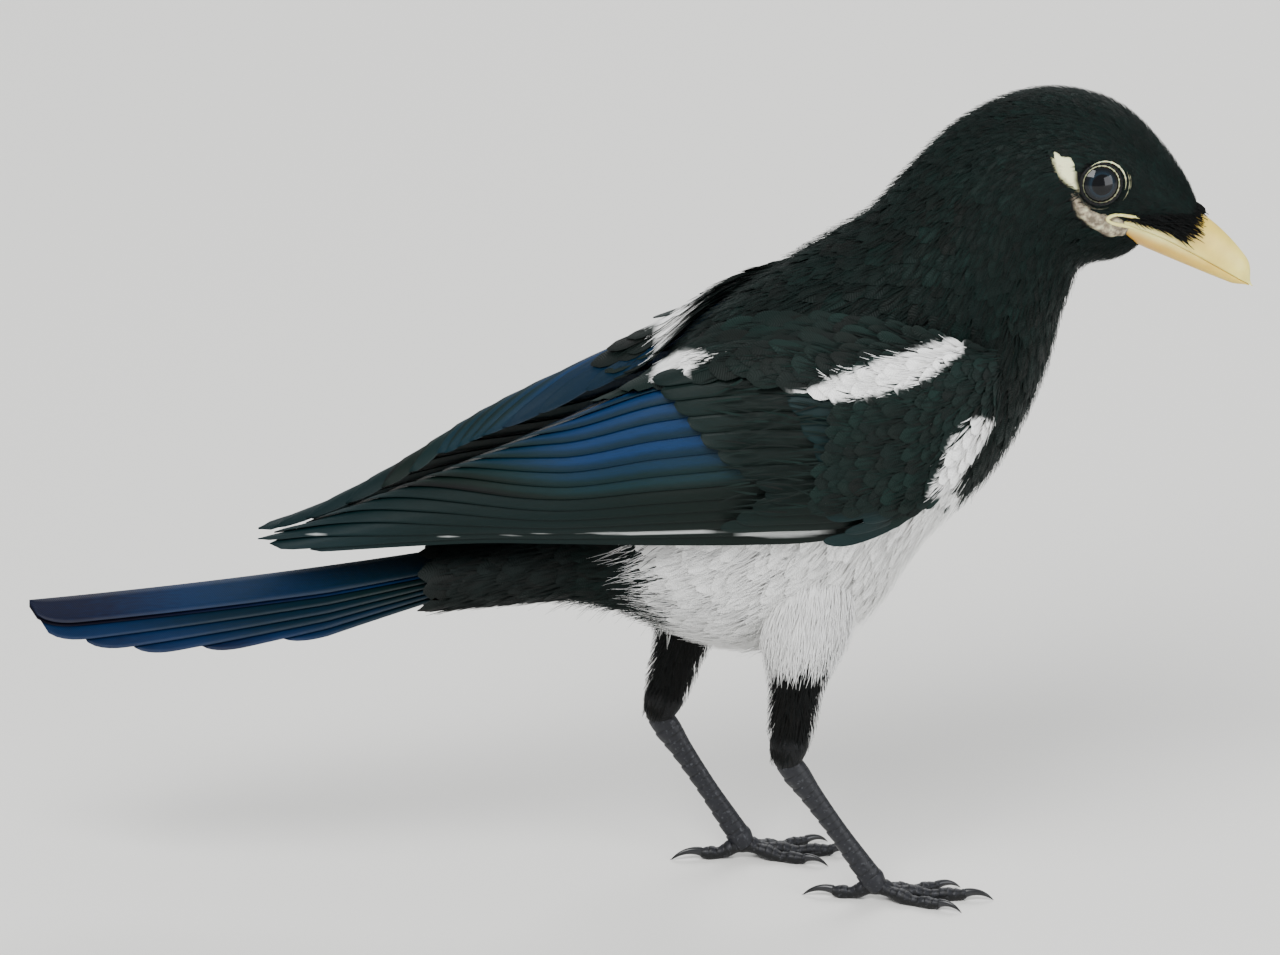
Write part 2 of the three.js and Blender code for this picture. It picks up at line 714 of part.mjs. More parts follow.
function eyeFrame(side) {
  const turn = side * radians(EYE.turnDegrees);
  const d = 0.03;
  const at = (s, w) => new THREE.Vector3(...bodyPoint(s, w));
  const along = at(EYE.along + d, turn).sub(at(EYE.along - d, turn)).normalize();
  const across = at(EYE.along, turn + side * d).sub(at(EYE.along, turn - side * d)).normalize();
  const outward = along.clone().cross(across).normalize();
  if (outward.y * side < 0) outward.negate();
  const place = at(EYE.along, turn).addScaledVector(outward, EYE.proud);
  const turned = new THREE.Quaternion().setFromUnitVectors(new THREE.Vector3(0, 1, 0), outward);
  return new THREE.Matrix4().compose(place, turned, new THREE.Vector3(1, 1, 1));
}

// A lens with a domed face and a flat back, spun about its own axis, which points out of the head.
function eyeLens(out = 0, forward = 0) {
  const rim = EYE.opening + out;
  const dome = EYE.radius - Math.sqrt(EYE.radius ** 2 - EYE.opening ** 2);
  const profile = [new THREE.Vector2(0, -EYE.depth - out), new THREE.Vector2(rim, -EYE.depth - out)];
  const steps = 4;
  for (let i = 0; i < steps; i += 1) {
    const share = 1 - i / steps;
    const r = rim * share;
    profile.push(new THREE.Vector2(r, dome * (1 - share ** 2) + forward));
  }
  profile.push(new THREE.Vector2(0, dome + forward));
  return facingOut(mergeVertices(bare(new THREE.LatheGeometry(profile, EYE_SPOKES))));
}

function bare(geometry) {
  geometry.deleteAttribute("normal");
  geometry.deleteAttribute("uv");
  return geometry;
}

// The two lids: a low round ring that stands a little out of the plumage all round the eye.
function eyeLid() {
  const sides = 5;
  const middle = EYE.opening + GAP + LID.out;
  const profile = Array.from({ length: sides + 1 }, (_, i) => {
    const turn = (2 * Math.PI * i) / sides;
    return new THREE.Vector2(middle + LID.radius * Math.cos(turn), LID.height + LID.radius * Math.sin(turn));
  });
  return facingOut(mergeVertices(bare(new THREE.LatheGeometry(profile, EYE_SPOKES))));
}

// Head

// A flat tapered lock of nasal bristles that lies forward along the upper mandible.
function bristle(side, turnDegrees, from, to, width) {
  const slices = 3;
  const grid = [];
  for (let k = 0; k <= slices; k += 1) {
    const t = k / slices;
    const u = lerp(from, to, t);
    const half = 0.5 * width * (1 - 0.8 * t ** 1.5);
    const lift = lerp(0.9, GAP + 0.1, t);
    grid.push(
      [-1, 1].map((edge) => {
        const ring = billStation(u);
        const turn = radians(turnDegrees) + (edge * half) / (0.5 * (ring.over + ring.wide));
        const low = billPoint(u, turn, true, lift);
        const high = billPoint(u, turn, true, lift + lerp(1, 0.5, t));
        return [
          [low[0], side * low[1], low[2]],
          [high[0], side * high[1], high[2]],
        ];
      }),
    );
  }
  return slab(grid);
}

function head() {
  const shell = bodyPiece(HEAD_START, LAST, 15, 22, GAP / 2, 0);
  const locks = [];
  for (const side of [LEFT, RIGHT]) {
    for (let i = 0; i < BRISTLES.rows; i += 1) {
      const turn = lerp(BRISTLES.lowest, BRISTLES.highest, i / (BRISTLES.rows - 1));
      const reach = lerp(BRISTLES.shortest, BRISTLES.longest, i / (BRISTLES.rows - 1));
      locks.push(bristle(side, turn, BRISTLES.from, reach, BRISTLES.width));
    }
  }
  let solid = toManifold(shell).subtract(toManifold(billPocket()));
  solid = wasm.Manifold.union([solid, ...locks.map(toManifold)]);
  for (const side of [LEFT, RIGHT]) {
    const place = eyeFrame(side);
    solid = solid.add(toManifold(eyeLid().applyMatrix4(place)));
    solid = solid.subtract(toManifold(eyeLens(GAP, SOCKET_REACH).applyMatrix4(place)));
  }
  return largest(solid);
}

// Legs

// A tapered limb between two points, each slice a flat oval across the limb's own line.
function limb(from, to, shape, count) {
  const a = new THREE.Vector3(...from);
  const b = new THREE.Vector3(...to);
  const line = b.clone().sub(a);
  const length = line.length();
  line.normalize();
  const sideways = new THREE.Vector3(0, 1, 0).addScaledVector(line, -line.y).normalize();
  const fore = sideways.clone().cross(line).normalize();
  const rings = shape.along.map((share, i) => {
    const middle = a.clone().addScaledVector(line, share * length);
    return Array.from({ length: count }, (_, j) => {
      const turn = (2 * Math.PI * j) / count;
      const p = middle.clone().addScaledVector(fore, shape.fore[i] * Math.cos(turn));
      return p.addScaledVector(sideways, shape.side[i] * Math.sin(turn)).toArray();
    });
  });
  return loft(rings);
}

const placed = (point, side) => [point[0], side * point[1], point[2]];

// The plane that parts shin from tarsus: through the ankle, half way between the two directions.
function anklePlane(leg, side) {
  const joints = [leg.top, leg.ankle, leg.toes];
  const [top, ankle, toes] = joints.map((p) => new THREE.Vector3(...placed(p, side)));
  const down = ankle.clone().sub(top).normalize();
  const onward = toes.clone().sub(ankle).normalize();
  const normal = down.clone().add(onward).normalize();
  return { ankle, down, onward, normal, offset: normal.dot(ankle) };
}

function shin(leg, side) {
  const { ankle, down, normal, offset } = anklePlane(leg, side);
  const end = ankle.clone().addScaledVector(down, ANKLE_OVERLAP).toArray();
  const whole = toManifold(limb(placed(leg.top, side), end, SHIN, 14));
  const rings = [];
  for (let i = 0; i <= TORSO_SLICES; i += 1) {
    rings.push(bodyRing(lerp(0, NECK_START, i / TORSO_SLICES), RING_COUNT, { out: GAP }));
  }
  const outside = whole.subtract(toManifold(loft(rings)));
  return largest(outside.trimByPlane(normal.clone().negate().toArray(), -offset + GAP / 2));
}

function tarsus(leg, side) {
  const { ankle, onward, normal, offset } = anklePlane(leg, side);
  const start = ankle.clone().addScaledVector(onward, -ANKLE_OVERLAP).toArray();
  const whole = toManifold(limb(start, placed(leg.toes, side), TARSUS, 12));
  return largest(whole.trimByPlane(normal.toArray(), offset + GAP / 2));
}

// A toe or claw: a tube along a bent line in one upright plane.
function bentTube(start, yaw, profile, count) {
  const ahead = new THREE.Vector3(Math.cos(yaw), Math.sin(yaw), 0);
  const sideways = new THREE.Vector3(-Math.sin(yaw), Math.cos(yaw), 0);
  const rings = profile.map(({ reach, height, radius, pitch }) => {
    const normal = ahead.clone().multiplyScalar(-Math.sin(pitch));
    normal.z += Math.cos(pitch);
    const middle = new THREE.Vector3(start[0], start[1], height).addScaledVector(ahead, reach);
    return Array.from({ length: count }, (_, j) => {
      const turn = (2 * Math.PI * j) / count;
      const p = middle.clone().addScaledVector(normal, radius * Math.cos(turn));
      return p.addScaledVector(sideways, radius * Math.sin(turn)).toArray();
    });
  });
  return loft(rings);
}

// The toe's line: down from the foot's ball, along the ground over its pads, up a little at the claw.
function toeProfile(toe) {
  const slices = 6;
  return Array.from({ length: slices + 1 }, (_, i) => {
    const t = i / slices;
    const pads = i === 0 ? 1 : 1 + TOE.swell * Math.cos(2 * Math.PI * TOE.pads * t);
    const radius = toe.thick * lerp(TOE.thickAtBall, TOE.thickAtClaw, t) * pads;
    const ball = Math.exp(-(((t * toe.length) / TOE.ballReach) ** 2));
    const lifted = Math.max(t - TOE.liftFrom, 0) * TOE.lift;
    const height = lerp(radius - TOE.sink, TOE.ballHeight, ball) + lifted;
    return { reach: t * toe.length, height, radius, pitch: 0 };
  });
}

function clawProfile(toe) {
  const end = toeProfile(toe).at(-1);
  const slices = 5;
  const lines = [];
  let reach = toe.length + GAP;
  let height = end.height;
  for (let i = 0; i <= slices; i += 1) {
    const t = i / slices;
    const radius = Math.max(end.radius * CLAW.thick * (1 - t) ** CLAW.taper, CLAW.point);
    const pitch = radians(CLAW.riseDegrees - CLAW.bendDegrees * t);
    const clear = Math.max(height, radius + CLAW.floor);
    lines.push({ reach, height: clear, radius, pitch: i === 0 ? 0 : pitch });
    reach += (toe.claw / slices) * Math.cos(pitch);
    height += (toe.claw / slices) * Math.sin(pitch);
  }
  return lines;
}

function toeYaw(toe, leg, side) {
  return radians(-side * toe.yaw + leg.turnDegrees);
}

function foot(leg, side) {
  const ball = placed(leg.toes, side);
  const ankle = placed(leg.ankle, side);
  const up = new THREE.Vector3(...ankle).sub(new THREE.Vector3(...ball)).normalize();
  const under = step(ball, up.toArray(), -FOOT.drop);
  const start = step(ball, up.toArray(), -GAP);
  const toes = TOES.map((toe) => bentTube(under, toeYaw(toe, leg, side), toeProfile(toe), 8));
  const whole = wasm.Manifold.union([limb(start, under, FOOT, 12), ...toes].map(toManifold));
  return { solid: largest(whole.trimByPlane([0, 0, 1], 0)), under };
}

// Putting it together

const group = new THREE.Group();

function add(name, solid, look) {
  const mesh = new THREE.Mesh(toGeometry(solid), new THREE.MeshStandardMaterial(COLOURS[look]));
  mesh.name = name;
  group.add(mesh);
}

const torso = bodyPiece(0, NECK_START, TORSO_SLICES, RING_COUNT, 0, -GAP / 2);
add("torso", joined([torso, ...tailCoverts()]), "black");
const neck = bodyPiece(NECK_START, HEAD_START, 7, RING_COUNT, GAP / 2, -GAP / 2);
add("neck", toManifold(neck), "black");
add("head", head(), "black");
add("upper_mandible", toManifold(mandible(true)), "bill");
add("lower_mandible", toManifold(mandible(false)), "bill");
add("tail", tail(), "tail");

for (const [name, side] of Object.entries(SIDES)) {
  const leg = LEGS[name];
  add(`eye_${name}`, toManifold(eyeLens().applyMatrix4(eyeFrame(side))), "eye");
  add(`wing_${name}`, wing(side), "wing");
  add(`shin_${name}`, shin(leg, side), "black");
  add(`tarsus_${name}`, tarsus(leg, side), "leg");
  const { solid, under } = foot(leg, side);
  add(`foot_${name}`, solid, "leg");
  TOES.forEach((toe) => {
    const claw = bentTube(under, toeYaw(toe, leg, side), clawProfile(toe), 7);
    add(`claw_${name}_${toe.name}`, toManifold(claw), "claw");
  });
}

export default group;
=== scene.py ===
"""A life-size young yellow-billed magpie, standing in mid-stride, as a museum shows one.

Sizes and places are in millimetres in the bird's own frame, +X towards the bill, +Y to its left, +Z
up and the ground at z = 0, until a mesh is made, which is in metres.
"""
import logging
import math
from dataclasses import dataclass, field
from enum import Enum
from typing import Callable, ClassVar, Protocol

import bpy
import numpy as np
from mathutils import Matrix, Vector
from mathutils.kdtree import KDTree


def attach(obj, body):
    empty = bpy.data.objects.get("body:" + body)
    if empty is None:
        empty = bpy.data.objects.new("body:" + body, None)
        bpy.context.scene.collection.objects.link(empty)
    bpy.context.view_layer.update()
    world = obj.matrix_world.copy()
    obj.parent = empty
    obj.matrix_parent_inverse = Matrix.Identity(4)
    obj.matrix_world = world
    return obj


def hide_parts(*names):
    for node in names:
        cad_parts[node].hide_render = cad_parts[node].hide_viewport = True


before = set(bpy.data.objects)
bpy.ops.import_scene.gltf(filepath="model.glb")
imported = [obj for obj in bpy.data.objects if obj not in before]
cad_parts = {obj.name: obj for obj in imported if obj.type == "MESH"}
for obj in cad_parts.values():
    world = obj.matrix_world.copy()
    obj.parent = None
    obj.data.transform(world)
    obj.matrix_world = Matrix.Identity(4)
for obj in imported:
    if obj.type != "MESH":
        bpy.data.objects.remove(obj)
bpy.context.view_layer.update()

LOG = logging.getLogger("magpie")
METRES = 0.001
BAKE_MAP = "OFBake"
VANE_MAP = "Vane"
TAU = 2 * math.pi
SEED = 1879
# A small feather's patch on the unwrap
PATCH = 0.003
# The least share of a form's usual speed that feathers reckon with, so that none runs far at a pole
SLOWEST = 0.35
# How far a feather's underside lies below its edges
SHEET_THICK = 0.1
# Height over a feather's root as it rises to its tip's, as a power of the share along it
RISING = 0.8
# Places tried for each root that is kept
CROWD = 5.0
# How far a tube is drawn in at its round ends, short of a single point
ROUND_END = 0.995
# The unwrap: the body's column, then one column for the right side's parts and one for the left's
MARGIN = 0.02
BODY_COLUMN = 0.58
SIDE_COLUMN = 0.16
RIGHT_AT = 0.62
LEFT_AT = 0.82

Array = np.ndarray


class Side(Enum):
    """The two sides of the bird, with the sign of their y."""

    RIGHT = -1
    LEFT = 1

    @property
    def word(self) -> str:
        """The side's name as the pieces and nodes spell it."""
        return self.name.lower()

    @property
    def column(self) -> float:
        """The left edge of the side's column on the unwrap."""
        return RIGHT_AT if self is Side.RIGHT else LEFT_AT


# Curves


def curve(values: Array, t: Array) -> Array:
    """Reads a smooth curve that passes through evenly numbered values.

    Args:
        values: the values, the first axis numbered from 0.
        t: places between those numbers, of any shape.

    Returns:
        The values there, of t's shape followed by the values' own further axes.
    """
    values = np.asarray(values, float)
    t = np.asarray(t, float)
    last = len(values) - 1
    i = np.clip(np.floor(t).astype(int), 0, last - 1)
    extra = (1,) * (values.ndim - 1)
    f = (t - i).reshape(t.shape + extra)
    b = values[i]
    c = values[i + 1]
    has_a = (i > 0).reshape(t.shape + extra)
    has_d = (i + 2 <= last).reshape(t.shape + extra)
    a = np.where(has_a, values[np.maximum(i - 1, 0)], 2 * b - c)
    d = np.where(has_d, values[np.minimum(i + 2, last)], 2 * c - b)
    return b + 0.5 * f * (c - a + f * (2 * a - 5 * b + 4 * c - d + f * (3 * (b - c) + d - a)))


def place_of(values: Array, x: Array) -> Array:
    """Finds where a rising or falling curve through values has the value x, as a number between them.

    Args:
        values: the values, numbered from 0.
        x: the values to find.

    Returns:
        The numbers, of x's shape.
    """
    t = np.linspace(0, len(values) - 1, 40 * len(values))
    along = curve(values, t)
    if along[-1] < along[0]:
        return np.interp(-np.asarray(x, float), -along, t)
    return np.interp(x, along, t)


def smooth(low: float, high: float, x: Array) -> Array:
    """A soft step from 0 at low to 1 at high."""
    t = np.clip((np.asarray(x, float) - low) / (high - low), 0, 1)
    return t * t * (3 - 2 * t)


def unit(v: Array) -> Array:
    """The vectors on the last axis, each at length 1."""
    return v / np.maximum(np.linalg.norm(v, axis=-1, keepdims=True), 1e-9)


def turn_share(v: Array) -> Array:
    """Turns as shares of a circle that starts at half a turn, where forms are cut for the unwrap."""
    return (np.asarray(v) + math.pi) % TAU / TAU


def inside_outline(x: Array, z: Array, outline: list[tuple[float, float]]) -> Array:
    """How far points lie inside a closed outline, negative outside it.

    Args:
        x: the points' first coordinate.
        z: the points' second coordinate.
        outline: the corners in order.

    Returns:
        The distance to the outline in its own units, of x's shape.
    """
    corners = np.array(outline, float)
    nearest = np.full(x.shape, np.inf)
    inside = np.zeros(x.shape, bool)
    for (ax, az), (bx, bz) in zip(corners, np.roll(corners, -1, axis=0)):
        dx, dz = bx - ax, bz - az
        share = np.clip(((x - ax) * dx + (z - az) * dz) / (dx * dx + dz * dz), 0, 1)
        nearest = np.minimum(nearest, np.hypot(x - ax - share * dx, z - az - share * dz))
        crosses = (az > z) != (bz > z)
        inside ^= crosses & (x < ax + (z - az) * dx / np.where(dz == 0, 1e-9, dz))
    return np.where(inside, nearest, -nearest)


# The bird's form: the same named sizes as its solids


@dataclass(frozen=True)
class Station:
    """One ring of the plumage's outline, across the body's long axis."""

    at: str
    x: float
    z: float
    rise: float
    up: float
    down: float
    side: float


BODY = (
    Station("tail root", -26, 84.5, 9, 7.5, 9, 9.5),
    Station("vent", -8, 88.3, 15, 14, 17, 15.5),
    Station("rump", 10, 97, 24, 31, 38, 25),
    Station("flank", 30, 110.5, 30, 38.5, 48, 30),
    Station("mid back", 50, 124, 33, 41, 38.5, 30.5),
    Station("shoulder", 67, 137, 37, 40, 34.5, 29),
    Station("neck base", 81, 151.5, 45, 36, 26.5, 26),
    Station("mid neck", 90, 166, 49, 33, 20, 22),
    Station("nape", 97, 178.7, 36, 28.8, 20.3, 19.3),
    Station("crown", 105.3, 185.2, 12, 24.8, 22.4, 18),
    Station("eyes", 115, 185.6, -10, 20, 21.4, 16.2),
    Station("lores", 124.7, 182.2, -20, 13.6, 17.2, 11.8),
    Station("bill base", 132.6, 178.4, -26, 7.4, 6.8, 6.8),
    Station("bristle tips", 137.2, 175.8, -30, 2.6, 4, 4.2),
)
LAST = len(BODY) - 1
HEAD_START = 8.3
NECK_START = 6.1

# The folded wing's sections: each has four knots of reach from the middle and height, from its low
# edge over the flat of the wing to its inner edge
WING_X = (88, 79, 68, 52, 30, 5, -20, -40, -60, -80, -98)
WING_LINES = (
    ((24, 137), (25.5, 141), (25, 146), (22, 150)),
    ((27, 125), (31, 134), (29, 145), (23, 152)),
    ((30, 112.5), (33, 126), (30, 144), (22, 154)),
    ((32, 104.5), (34, 121), (29, 143), (19, 153.5)),
    ((32, 103), (33.5, 119), (26.5, 142.5), (13, 149)),
    ((29.5, 101.5), (30.5, 115.5), (20.5, 136), (4, 135.5)),
    ((24, 99.5), (24.5, 110), (14.5, 125.2), (2, 121.5)),
    ((18.5, 97.5), (18.5, 105.5), (10.5, 115.5), (1.7, 113)),
    ((14, 94.5), (13.2, 99.5), (7, 105), (1.6, 103.2)),
    ((10.5, 91), (9, 93.5), (4.5, 95.4), (1.5, 94.8)),
    ((7.5, 87.7), (6, 88.6), (3.5, 89.2), (1.4, 89)),
)
WING_KNOTS = (0, 0.35, 0.7, 1)
# How much wider the flight feathers lie than their even share, where fewer reach back
WING_FAN = (1, 1, 1, 1, 1, 1, 1.06, 1.4, 2.2, 3.5, 5.0)
# Height by which the left wing lies over the right one behind the rump
WING_SKEW = (0, 0, 0, 0, 0, 0.6, 2, 2.4, 0.9, 0.2, 0)
SKEW_SHARES = (0, 0.25, 1, 1)
WING_LIFT = 0.45
# How softly the wing's sheet leaves the body that it lies on
SOFT_EDGE = 2.0
# Height from one flight feather to the next that it covers
VANE_STEP = 0.7

# Where the wing's large feathers end along X, from the low edge inwards
PRIMARY_TIPS = (-82, -92, -95, -91, -83, -73, -64, -57)
SECONDARY_TIPS = (-50, -48, -45, -42, -39)
TERTIAL_TIPS = (-34, -25, -13)
GREATER_TIPS = (20, 24, 28, 31, 29, 25, 20, 16, 13, 10, 7, 5)
ALULA_TIPS = (45, 50, 54)
MEDIAN_TIPS = (45, 47, 46, 43, 40, 37, 36)


class Surface(Protocol):
    """A form that feathers grow on, with two coordinates of its own."""

    lie: float

    def point(self, u: Array, v: Array, height: Array) -> Array:
        """Places at (u, v), raised by a height in millimetres."""

    def bake(self, u: Array, v: Array) -> Array:
        """Places of (u, v) on the flat unwrap of the form, between 0 and 1."""


def speeds(surface: Surface, u: Array, v: Array) -> tuple[Array, Array]:
    """Millimetres that a surface covers per unit of each of its coordinates.

    Args:
        surface: the form.
        u: first coordinates.
        v: second coordinates.

    Returns:
        The two rates.
    """
    d = 0.004
    zero = np.zeros(np.shape(u))
    along = surface.point(u + d, v, zero) - surface.point(u - d, v, zero)
    across = surface.point(u, v + d, zero) - surface.point(u, v - d, zero)
    return np.linalg.norm(along, axis=-1) / (2 * d), np.linalg.norm(across, axis=-1) / (2 * d)


class BodyForm:
    """Torso, neck and head: u is the place between stations, v the turn from the back's middle line."""

    lie = -1.0

    def __init__(self) -> None:
        """Lines the stations up as one table."""
        self.table = np.array([(b.x, b.z, b.rise, b.up, b.down, b.side) for b in BODY], float)

    def ring(self, s: Array) -> tuple[Array, ...]:
        """The rings at s: centre, direction ahead, direction above, and reach up, down and sideways.

        Args:
            s: places between stations.

        Returns:
            The six parts, in that order.
        """
        x, z, rise, up, down, side = np.moveaxis(curve(self.table, s), -1, 0)
        turn = np.radians(rise)
        zero = np.zeros_like(x)
        centre = np.stack([x, zero, z], -1)
        ahead = np.stack([np.cos(turn), zero, np.sin(turn)], -1)
        above = np.stack([-np.sin(turn), zero, np.cos(turn)], -1)
        return centre, ahead, above, up, down, side

    def point(self, u: Array, v: Array, height: Array) -> Array:
        """Places at (u, v), raised by a height in millimetres.

        Args:
            u: first coordinates.
            v: second coordinates.
            height: heights over the form, in millimetres.

        Returns:
            The places, on a last axis of three.
        """
        centre, _, above, up, down, side = self.ring(u)
        reach = np.where(np.cos(v) > 0, up, down) + height
        points = centre + above * (np.cos(v) * reach)[..., None]
        points[..., 1] += np.sin(v) * (side + height)
        return points

    def bake(self, u: Array, v: Array) -> Array:
        """The body's part of the unwrap, cut along the belly."""
        share = np.asarray(u) / LAST
        return np.stack([MARGIN + BODY_COLUMN * turn_share(v), MARGIN + (1 - 2 * MARGIN) * share], -1)

    def outside(self, points: Array) -> tuple[Array, Array, Array, Array]:
        """How far points stand outside the plumage.

        Args:
            points: places, on the last axis.

        Returns:
            The distance, the centre of the ring through each point, the arm from it and its length.
        """
        low = np.zeros(points.shape[:-1])
        high = np.full(points.shape[:-1], float(LAST))
        for _ in range(22):
            mid = (low + high) / 2
            centre, ahead = self.ring(mid)[:2]
            beyond = ((points - centre) * ahead).sum(-1) > 0
            low = np.where(beyond, mid, low)
            high = np.where(beyond, high, mid)
        centre, _, above, up, down, side = self.ring((low + high) / 2)
        arm = points - centre
        height = (arm * above).sum(-1)
        reach = np.where(height > 0, up, down)
        share = np.hypot(height / reach, arm[..., 1] / side)
        length = np.linalg.norm(arm, axis=-1)
        return length - length / np.maximum(share, 1e-6), centre, arm, length

    def reach_at(self, x: Array, z: Array) -> Array:
        """How far the plumage's surface reaches from the middle at places in the side view.

        Args:
            x: places along X.
            z: heights in the side view.

        Returns:
            The reach, in millimetres.
        """
        y = np.linspace(4, 22, 73)
        grid = np.stack(np.broadcast_arrays(x[:, None], y[None], z[:, None]), -1)
        distance = self.outside(grid)[0]
        return np.array([np.interp(0, row, y) for row in np.maximum.accumulate(distance, axis=1)])


class WingForm:
    """One folded wing's sheet: u is the place along X, v the share from its low to its inner edge."""

    lie = -1.0

    def __init__(self, side: Side, body: BodyForm) -> None:
        """Works the sheet out on a fine grid, from which places are read off.

        Args:
            side: which wing.
            body: the form that the wing lies on.
        """
        self.side = side
        self.xs = np.linspace(WING_X[0], WING_X[-1], 156)
        self.qs = np.linspace(-0.12, 1.12, 63)
        x, q = np.meshgrid(self.xs, self.qs, indexing="ij")
        a = place_of(WING_X, x)
        lines = curve(WING_LINES, a)
        across = np.interp(q, WING_KNOTS, range(4))
        across += np.where(q < 0, q / 0.35, 0) + np.where(q > 1, (q - 1) / 0.3, 0)
        reach = self.over_knots(lines[..., 0], across)
        rise = self.over_knots(lines[..., 1], across)
        skew = side.value * curve(WING_SKEW, a) * curve(SKEW_SHARES, across)
        points = np.stack([x, reach, rise + skew], -1)
        distance, centre, arm, length = body.outside(points)
        wanted = 0.5 * (distance + np.hypot(distance, SOFT_EDGE))
        self.sheet = centre + arm * ((length + wanted - distance) / length)[..., None]
        along = np.gradient(self.sheet, axis=0)
        over = np.gradient(self.sheet, axis=1)
        self.out = unit(np.cross(along, over))
        self.width = np.linalg.norm(np.diff(self.sheet, axis=1), axis=-1)[:, 6:-6].sum(-1)

    @staticmethod
    def over_knots(lines: Array, across: Array) -> Array:
        """Reads each section's own four knots at a place between them.

        Args:
            lines: the knots of each section, on the last axis.
            across: places between knots.

        Returns:
            The values there.
        """
        stacked = np.moveaxis(lines, -1, 0)
        last = len(stacked) - 1
        i = np.clip(np.floor(across).astype(int), 0, last - 1)
        f = across - i

        def knot(k: Array) -> Array:
            """The knots with these numbers, one for each place."""
            return np.take_along_axis(stacked, np.clip(k, 0, last)[None], 0)[0]

        b, c = knot(i), knot(i + 1)
        a = np.where(i > 0, knot(i - 1), 2 * b - c)
        d = np.where(i + 2 <= last, knot(i + 2), 2 * c - b)
        return b + 0.5 * f * (c - a + f * (2 * a - 5 * b + 4 * c - d + f * (3 * (b - c) + d - a)))

    def read(self, grid: Array, u: Array, v: Array) -> Array:
        """Reads a grid over the sheet at (u, v), evenly between its points.

        Args:
            grid: values at the points of the sheet's grid.
            u: first coordinates.
            v: second coordinates.

        Returns:
            The values there.
        """
        i = np.clip((u - self.xs[0]) / (self.xs[1] - self.xs[0]), 0, len(self.xs) - 1.001)
        j = np.clip((v - self.qs[0]) / (self.qs[1] - self.qs[0]), 0, len(self.qs) - 1.001)
        i0, j0 = i.astype(int), j.astype(int)
        fi, fj = (i - i0)[..., None], (j - j0)[..., None]
        low = grid[i0, j0] * (1 - fi) + grid[i0 + 1, j0] * fi
        high = grid[i0, j0 + 1] * (1 - fi) + grid[i0 + 1, j0 + 1] * fi
        return low * (1 - fj) + high * fj

    def point(self, u: Array, v: Array, height: Array) -> Array:
        """Places at (u, v), raised by a height in millimetres.

        Args:
            u: first coordinates.
            v: second coordinates.
            height: heights over the form, in millimetres.

        Returns:
            The places, on a last axis of three.
        """
        u, v = np.broadcast_arrays(np.asarray(u, float), np.asarray(v, float))
        lift = np.broadcast_to(np.asarray(height, float), u.shape) + WING_LIFT
        points = self.read(self.sheet, u, v) + unit(self.read(self.out, u, v)) * lift[..., None]
        points[..., 1] *= self.side.value
        return points

    def width_at(self, u: Array) -> Array:
        """The sheet's width across the feathers."""
        return np.interp(-np.asarray(u, float), -self.xs, self.width)

    def bake(self, u: Array, v: Array) -> Array:
        """This wing's part of the unwrap."""
        share = (np.asarray(u) - WING_X[-1]) / (WING_X[0] - WING_X[-1])
        return np.stack([self.side.column + SIDE_COLUMN * np.clip(v, 0, 1), 0.52 + 0.46 * share], -1)


@dataclass(frozen=True)
class Limb:
    """A leg segment's form between two joints: shares along it, and reach fore and aft and sideways."""

    along: tuple[float, ...]
    fore: tuple[float, ...]
    side: tuple[float, ...]


@dataclass(frozen=True)
class Leg:
    """A leg's joints, y as the reach from the bird's middle."""

    top: tuple[float, float, float]
    ankle: tuple[float, float, float]
    toes: tuple[float, float, float]
    turn: float


LEGS = {
    Side.RIGHT: Leg((43, 15, 94), (36.5, 17, 38), (57.5, 15, 6.2), -4),
    Side.LEFT: Leg((20, 15, 92), (4.5, 17, 37.5), (24.5, 15, 6.2), 4),
}
SHIN = Limb(
    (0, 0.25, 0.42, 0.55, 0.68, 0.85, 0.95, 1),
    (12, 12.6, 11.4, 8.8, 6.9, 5.9, 4.6, 3.6),
    (9, 10, 9.6, 7.6, 6, 4.9, 3.9, 3.2),
)
TARSUS = Limb((0, 0.12, 0.3, 0.6, 0.88, 1), (3.1, 3.4, 2.8, 2.5, 2.8, 3), (2.7, 2.9, 2.2, 2.1, 2.5, 2.6))
FOOT_BALL = Limb((0, 0.35, 1), (3, 3.1, 2.4), (2.6, 2.9, 2.6))


